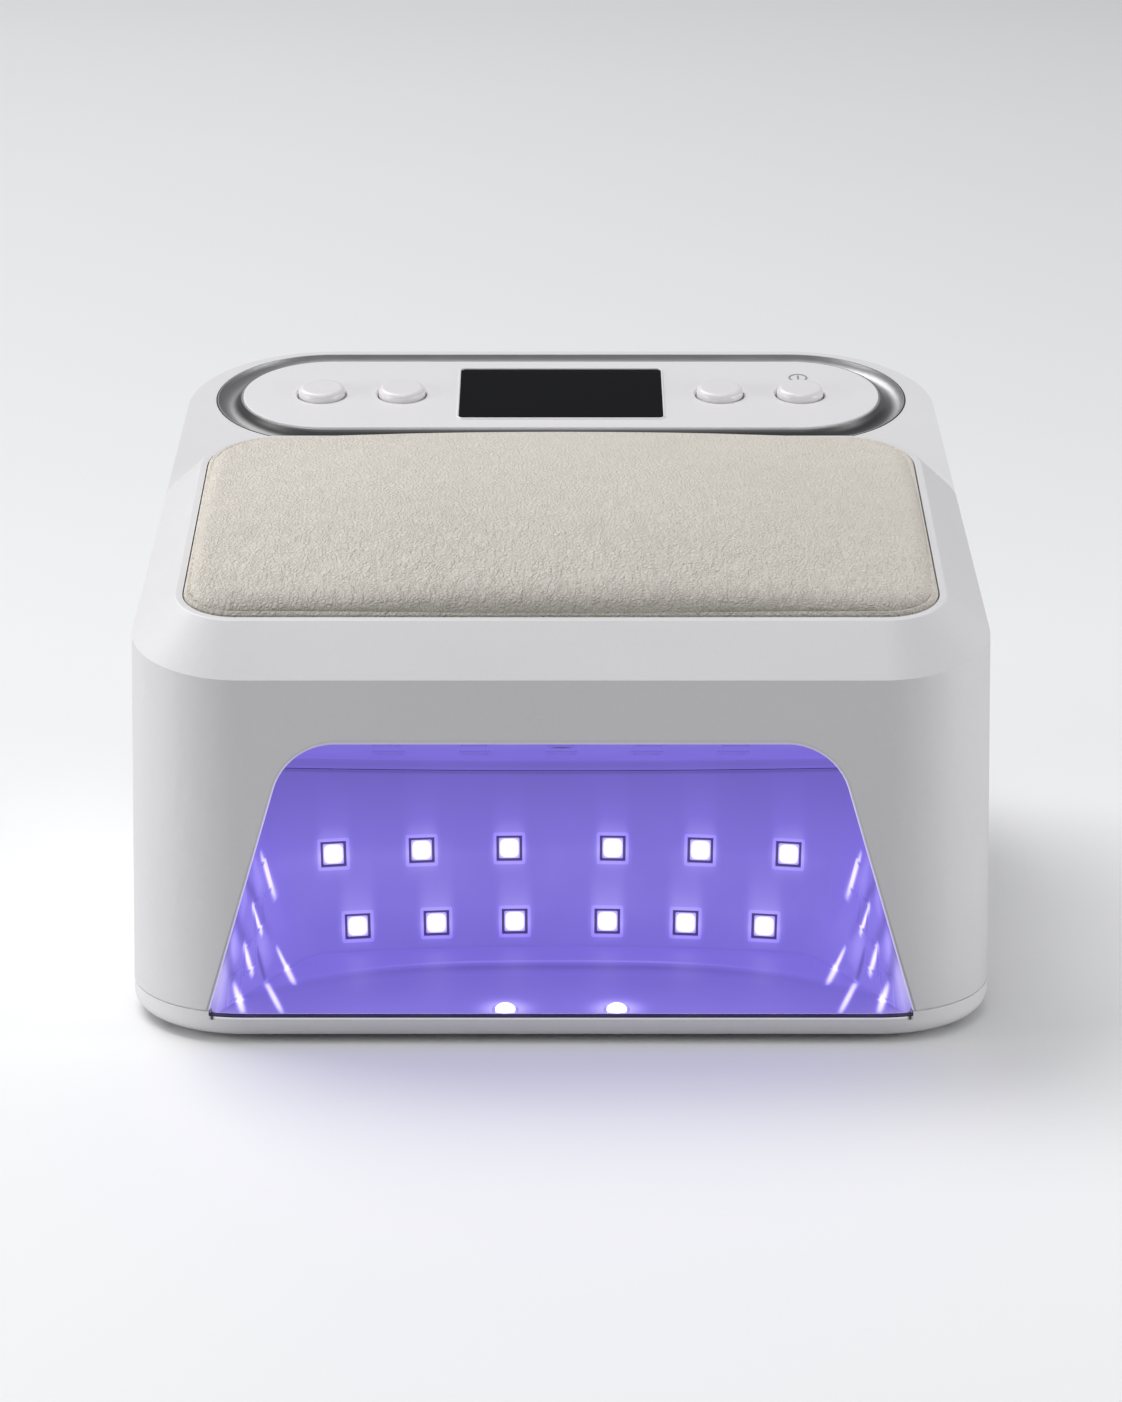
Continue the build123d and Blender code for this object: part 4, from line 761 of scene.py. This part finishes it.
def settle(piece):
    """Take the object's own place, turn and scale into its mesh."""
    pick(piece)
    bpy.ops.object.transform_apply(location=True, rotation=True, scale=True)


def modify(piece, kind, **settings):
    """Add a modifier and set its values."""
    made = piece.modifiers.new(kind.title(), kind)
    for name, value in settings.items():
        setattr(made, name, value)
    return made


def apply_modifiers(piece):
    pick(piece)
    for modifier in list(piece.modifiers):
        bpy.ops.object.modifier_apply(modifier=modifier.name)


def smooth(piece, degrees=35):
    pick(piece)
    bpy.ops.object.shade_smooth_by_angle(angle=radians(degrees))


def place_at(piece, matrix):
    """Put the modelled shape at a place and leave the object itself at the origin."""
    piece.matrix_world = matrix
    settle(piece)


def copies_joined(piece, places, name):
    """One mesh made of a copy of the piece at each place."""
    made = []
    for place in places:
        pick(piece)
        bpy.ops.object.duplicate()
        copy = bpy.context.object
        place_at(copy, place)
        made.append(copy)
    bpy.data.objects.remove(piece)
    pick(*made)
    bpy.ops.object.join()
    return named(name)


def rounded_outline(name, half_x, low_y, high_y, low_r, high_r, thickness):
    """A closed tube along a rectangle with round corners, lying in its own XY plane."""
    centre_y = (low_y + high_y) / 2
    clear_selection()
    bpy.ops.mesh.primitive_plane_add(size=1, location=(0, centre_y, 0))
    made = named(name)
    made.scale = (2 * half_x, high_y - low_y, 1)
    settle(made)
    set_mode("EDIT")
    select_verts(made, lambda co: co.y < centre_y)
    bpy.ops.mesh.bevel(offset=low_r, segments=14, affect="VERTICES")
    select_verts(made, lambda co: co.y > high_y - 1e-6)
    bpy.ops.mesh.bevel(offset=high_r, segments=14, affect="VERTICES")
    select_all()
    bpy.ops.mesh.delete(type="ONLY_FACE")
    set_mode("OBJECT")
    bpy.ops.object.convert(target="CURVE")
    curve = bpy.context.object.data
    curve.bevel_depth = thickness
    curve.bevel_resolution = 3
    bpy.ops.object.convert(target="MESH")
    return named(name)


def square_ring(name, outer, inner, low, high):
    """A flat square frame with rounded edges between two heights."""
    clear_selection()
    bpy.ops.mesh.primitive_plane_add(size=outer, location=(0, 0, low))
    piece = named(name)
    set_mode("EDIT")
    select_all()
    bpy.ops.mesh.bevel(offset=FRAME_CORNER, segments=3, affect="VERTICES")
    select_all()
    bpy.ops.mesh.inset(thickness=(outer - inner) / 2)
    bpy.ops.mesh.delete(type="FACE")
    raise_faces(high - low)
    settle(piece)
    modify(piece, "BEVEL", width=0.12 * MM, segments=2)
    apply_modifiers(piece)
    return piece


def facing(centre, normal):
    """A frame at centre whose Z points along normal and whose Y points as far up as it can."""
    up = Vector((0, 0, 1)) if abs(normal.z) < 0.8 else Vector((0, 1, 0))
    across = up.cross(normal).normalized()
    turn = Matrix((across, normal.cross(across), normal)).transposed()
    return Matrix.Translation(centre) @ turn.to_4x4()


# Operators

class FinishOperator(bpy.types.Operator):
    """Make the finishes and give one to every CAD node."""
    bl_idname = "nail_lamp.finishes"
    bl_label = "Finishes"

    def execute(self, context):
        finishes.update(make_materials())
        for part in frame["record"]["subparts"]:
            node = nodes[part["node"]]
            node.data.materials.clear()
            node.data.materials.append(finishes[part["material_slot"]])
            modify(node, "WELD", merge_threshold=0.002 * MM)
            modify(node, "EDGE_SPLIT", split_angle=radians(28))
            modify(node, "WEIGHTED_NORMAL", keep_sharp=True)
            for face in node.data.polygons:
                face.use_smooth = True
        return {"FINISHED"}


# How the pad is fitted to its pocket along each axis
PAD_FIT = (1.004, 1.006, 0.998)
# Heights over the pad's foot: held below, smoothed above, swelling above, and the height in which the swelling grows
PAD_HELD, PAD_FREE, PAD_FOOT, PAD_BLEND = 1.6 * MM, 0.9 * MM, 1.2 * MM, 3.5 * MM
SWELL_FRAMES = 20
COVER_CLOTH = {"quality": 5, "mass": 0.3, "tension_stiffness": 12, "compression_stiffness": 12,
               "bending_stiffness": 0.6, "use_pressure": True}
# The leather roll along the pocket's edge, and its height over the top in millimetres
WELT = {"half_x": 0.0933, "low_y": 0.0172, "high_y": 0.1253, "low_r": 0.0130, "high_r": 0.0170, "thickness": 0.00115}
WELT_HEIGHT = 9.2


class PadOperator(bpy.types.Operator):
    """Model the leather arm pad: swell its foam under the cover and round its edge."""
    bl_idname = "nail_lamp.pad"
    bl_label = "Arm Pad"

    def execute(self, context):
        settings = look("pad")
        cushion = self.even_copy(settings.voxel)
        up = TOP_AXES.to_3x3() @ Vector((0, 0, 1))
        low = min(up.dot(v.co) for v in cushion.data.vertices)
        held = cushion.vertex_groups.new(name="held")
        held.add([v.index for v in cushion.data.vertices if up.dot(v.co) < low + PAD_HELD], 1.0, "ADD")
        free = cushion.vertex_groups.new(name="free")
        free.add([v.index for v in cushion.data.vertices if up.dot(v.co) > low + PAD_FREE], 1.0, "ADD")
        start = [(v.co.copy(), v.normal.copy()) for v in cushion.data.vertices]
        self.blow_up(context, cushion, settings.pressure)
        for vertex, (was, out) in zip(cushion.data.vertices, start):
            swell = (vertex.co - was).dot(out)
            share = min(max((up.dot(was) - low - PAD_FOOT) / PAD_BLEND, 0.0), 1.0)
            vertex.co = was + out * min(max(swell, 0.0), settings.cap) * share
        modify(cushion, "SMOOTH", factor=0.5, iterations=26, vertex_group="free")
        apply_modifiers(cushion)
        for vertex, (was, out) in zip(cushion.data.vertices, start):
            vertex.co = was + up * max((vertex.co - was).dot(up), 0.0)
        modify(cushion, "SUBSURF", levels=1, render_levels=1)
        apply_modifiers(cushion)
        pick(cushion)
        bpy.ops.object.shade_smooth()
        finish_with(cushion, "pad_leather")
        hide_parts("arm_pad_cushion")
        welt = rounded_outline("pad_welt", **WELT)
        place_at(welt, from_top_edge(0.0, WELT_HEIGHT))
        smooth(welt)
        finish_with(welt, "pad_leather")
        return {"FINISHED"}

    def even_copy(self, voxel):
        """The CAD cushion, fitted to its pocket, with vertices at even distances."""
        cushion = linked("leather_pad", nodes["arm_pad_cushion"].data.copy())
        pick(cushion)
        set_mode("EDIT")
        select_all()
        bpy.ops.mesh.remove_doubles(threshold=0.01 * MM)
        bpy.ops.mesh.normals_make_consistent(inside=False)
        bpy.ops.transform.resize(value=PAD_FIT, center_override=middle("arm_pad_cushion"))
        set_mode("OBJECT")
        place_at(cushion, TOP_AXES.inverted())
        exact = linked("exact", cushion.data.copy())
        modify(cushion, "REMESH", mode="VOXEL", voxel_size=voxel)
        modify(cushion, "SHRINKWRAP", target=exact)
        apply_modifiers(cushion)
        bpy.data.objects.remove(exact)
        place_at(cushion, TOP_AXES)
        return cushion

    def blow_up(self, context, cushion, pressure):
        """Let the pressure of the foam push the cover out like cloth."""
        cover = modify(cushion, "CLOTH").settings
        for name, value in COVER_CLOTH.items():
            setattr(cover, name, value)
        cover.uniform_pressure_force = pressure
        cover.effector_weights.gravity = 0
        cover.vertex_group_mass = "held"
        for step in range(1, SWELL_FRAMES + 1):
            context.scene.frame_set(step)
        apply_modifiers(cushion)
        context.scene.frame_set(1)


# The light windows: frame border and corner, lens, dome and side cover
FRAME_BORDER, FRAME_CORNER = 0.75 * MM, 0.5 * MM
LENS_WIDTH, LENS_CORNER = 5.4 * MM, 0.4 * MM
DOME_SIZE = Vector((5.2, 5.2, 3.4)) * MM
COVER_WIDTH = 8.0 * MM
# Where each of these starts and ends over the front face of its light source
FRAME_HEIGHTS, RECESS_HEIGHTS = (0.3 * MM, 0.9 * MM), (-0.4 * MM, -0.1 * MM)
LENS_HEIGHTS, COVER_HEIGHTS = (-0.1 * MM, 0.1 * MM), (-0.2 * MM, 0.16 * MM)


class WindowOperator(bpy.types.Operator):
    """Model the frame and the dark recess of each back light window, the lens on each back, roof and floor source,
    and a cover on each side source.
    """
    bl_idname = "nail_lamp.windows"
    bl_label = "Light Windows"

    def execute(self, context):
        for node in LIGHT_NODES:
            spots = led_spots(node)
            if not spots:
                raise RuntimeError("no light source faces found in " + node)
            self.dress(node, [facing(centre, normal) for centre, normal in spots])
        return {"FINISHED"}

    def dress(self, node, places):
        """Put the pieces of a light window at each place of one CAD node."""
        def spread(piece, kind):
            return copies_joined(piece, places, node.replace("leds", kind))

        if node in SIDE_NODES:
            finish_with(spread(self.plate("cover", COVER_WIDTH, *COVER_HEIGHTS), "covers"), "reflector_silver")
            return
        if node == "back_leds":
            width = look("glow").frame_width
            hole = width - 2 * FRAME_BORDER
            frames = spread(square_ring("window", width, hole, *FRAME_HEIGHTS), "frames")
            smooth(frames)
            finish_with(frames, "reflector_silver", "window_frame")
            recesses = spread(square_ring("recess", hole, DOME_SIZE.x, *RECESS_HEIGHTS), "recesses")
            finish_with(recesses, "reflector_silver", "window_recess")
        lens = self.dome() if node == "floor_leds" else self.plate("lens", LENS_WIDTH, *LENS_HEIGHTS)
        lenses = spread(lens, "lenses")
        smooth(lenses)
        finish_with(lenses, "led_lens", "dim_source" if node == "roof_leds" else "led_lens")

    def plate(self, name, width, low, high):
        """A thin square plate with round corners whose map runs from edge to edge."""
        clear_selection()
        bpy.ops.mesh.primitive_plane_add(size=width, location=(0, 0, low))
        piece = named(name)
        settle(piece)
        set_mode("EDIT")
        select_all()
        bpy.ops.mesh.bevel(offset=LENS_CORNER, segments=3, affect="VERTICES")
        raise_faces(high - low)
        return piece

    def dome(self):
        """A low dome lens for the sources in the floor."""
        clear_selection()
        bpy.ops.mesh.primitive_uv_sphere_add(segments=32, ring_count=16, radius=0.5, location=(0, 0, 0))
        piece = named("dome")
        piece.scale = DOME_SIZE
        settle(piece)
        set_mode("EDIT")
        select_all()
        bpy.ops.uv.reset()
        set_mode("OBJECT")
        for spot in piece.data.uv_layers.active.data:
            spot.uv = (0.5, 0.5)
        return piece


# The display's rim: how far outside the lens it stands, its corners, its thickness and its height in millimetres
RIM_ASIDE, RIM_ALONG, RIM_CORNER, RIM_THICKNESS = 0.0002, 0.0001, 0.0017, 0.0003
RIM_HEIGHT = 0.95
# The power mark: its ring, its bar, and how far up the slope and how high it lies in millimetres
MARK_RADIUS, MARK_THICKNESS, MARK_FLATNESS = 0.00245, 0.0003, 0.6
MARK_BAR = (0.55 * MM, 3.0 * MM, 0.6 * MM)
MARK_UP, MARK_HEIGHT = 11.6, 0.83


class PanelOperator(bpy.types.Operator):
    """Model the fine parts of the control panel: the display's rim and the power mark."""
    bl_idname = "nail_lamp.panel"
    bl_label = "Control Panel"

    def execute(self, context):
        low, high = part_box("display_window")
        half_x = (high.x - low.x) / 2 + RIM_ASIDE
        half_v = (high.y - low.y) / 2 / cos(TILT) + RIM_ALONG
        rim = rounded_outline("display_rim", half_x, -half_v, half_v, RIM_CORNER, RIM_CORNER, RIM_THICKNESS)
        place_at(rim, top_frame(0, 0, RIM_HEIGHT))
        smooth(rim)
        finish_with(rim, "button_white")
        self.power_mark()
        return {"FINISHED"}

    def power_mark(self):
        """A ring with a bar across it, pressed into the panel behind the power button."""
        button = middle("power_button")
        clear_selection()
        bpy.ops.mesh.primitive_torus_add(major_radius=MARK_RADIUS, minor_radius=MARK_THICKNESS, major_segments=48,
                                         minor_segments=8)
        ring = named("power_mark")
        bpy.ops.mesh.primitive_cube_add(size=1, location=(0, 0, 0))
        bar = named("power_bar")
        bar.scale = MARK_BAR
        settle(bar)
        modify(bar, "BEVEL", width=0.18 * MM, segments=3)
        apply_modifiers(bar)
        pick(ring, bar)
        bpy.ops.object.join()
        ring = named("power_mark")
        ring.scale = (1, 1, MARK_FLATNESS)
        settle(ring)
        place_at(ring, top_frame(button.x / MM, MARK_UP, MARK_HEIGHT))
        smooth(ring)
        finish_with(ring, "panel_white", "mark_grey")


# The soft lights: name, place, side length and power
LIGHTS = (
    ("Key", (-1.4, 1.3, 3.0), 2.2, 76.0),
    ("Over", (0.0, -0.3, 1.7), 0.7, 4.2),
    ("Left", (-0.85, -0.22, 0.24), 0.34, 2.6),
    ("Right", (0.85, -0.22, 0.24), 0.34, 2.3),
)


class StageOperator(bpy.types.Operator):
    """Set the pale floor, the soft lights and the camera."""
    bl_idname = "nail_lamp.stage"
    bl_label = "Stage"

    def execute(self, context):
        settings = look("stage")
        self.floor(settings)
        self.world(context, settings)
        for light in LIGHTS:
            self.light(*light)
        camera = bpy.data.cameras.new("Camera")
        camera.lens = settings.lens
        camera.sensor_width = 36.0
        camera.clip_end = 50.0
        holder = linked("Camera", camera)
        holder.location = settings.camera_place
        holder.rotation_euler = (pi / 2 - settings.camera_drop, 0, 0)
        context.scene.camera = holder
        context.scene.view_settings.view_transform = "Standard"
        return {"FINISHED"}

    def floor(self, settings):
        clear_selection()
        bpy.ops.mesh.primitive_circle_add(vertices=96, radius=7.0, fill_type="NGON", location=(0, 0, 0))
        floor = named("floor")
        made, tree, shader = new_material("Pale Floor", Roughness=0.6)
        cloud = noise(tree, object_coords(tree), 3.0, 2.0)
        shown = mixed(tree, cloud, scaled(settings.floor_colour, 0.98), scaled(settings.floor_colour, 1.0))
        bounced = mixed(tree, cloud, scaled(settings.floor_colour, 0.62), scaled(settings.floor_colour, 0.64))
        give(tree, shader, Base_Color=mixed(tree, seen_straight(tree), bounced, shown))
        floor.data.materials.append(made)

    def world(self, context, settings):
        world = bpy.data.worlds.new("Studio")
        world.use_nodes = True
        context.scene.world = world
        tree = world.node_tree
        sky = tree.nodes["Background"]
        sky.inputs["Strength"].default_value = 0.27
        shown = put(tree, "Background", {"Color": rgba((0.92, 0.92, 0.92)), "Strength": 1.0})
        blend = put(tree, "MixShader", {0: seen_straight(tree), 1: sky.outputs[0], 2: shown.outputs[0]})
        sky.inputs["Color"].default_value = rgba((0.93, 0.95, 1.0))
        give(tree, tree.nodes["World Output"], Surface=blend.outputs[0])

    def light(self, name, place, size, power):
        lamp = bpy.data.lights.new(name, "AREA")
        lamp.shape = "SQUARE"
        lamp.size = size
        lamp.energy = power
        holder = linked(name, lamp)
        holder.location = place
        aim = Vector((0, 0, 0.06)) - Vector(place)
        holder.rotation_euler = aim.to_track_quat("-Z", "Y").to_euler()


class LampPanel(bpy.types.Panel):
    """Lists the steps that build the lamp's looks"""
    bl_idname = "VIEW3D_PT_nail_lamp"
    bl_label = "Nail Lamp"
    bl_space_type = "VIEW_3D"
    bl_region_type = "UI"
    bl_category = "Nail Lamp"

    def draw(self, context):
        for name in LOOKS:
            for key in LOOKS[name].__annotations__:
                self.layout.prop(look(name), key)
        for step in STEPS:
            self.layout.operator(step.bl_idname)


LOOKS = {"casing": CasingLook, "pad": PadLook, "glow": GlowLook, "stage": StageLook}
STEPS = (FinishOperator, PadOperator, WindowOperator, PanelOperator, StageOperator)


def register():
    for made in (*LOOKS.values(), *STEPS, LampPanel):
        bpy.utils.register_class(made)
    for name, group in LOOKS.items():
        setattr(bpy.types.Scene, "nail_lamp_" + name, bpy.props.PointerProperty(type=group))


def unregister():
    for name in LOOKS:
        delattr(bpy.types.Scene, "nail_lamp_" + name)
    for made in (LampPanel, *STEPS, *LOOKS.values()):
        bpy.utils.unregister_class(made)


def main():
    register()
    bpy.ops.nail_lamp.finishes()
    bpy.ops.nail_lamp.pad()
    bpy.ops.nail_lamp.windows()
    bpy.ops.nail_lamp.panel()
    bpy.ops.nail_lamp.stage()


if __name__ == "__main__":
    main()
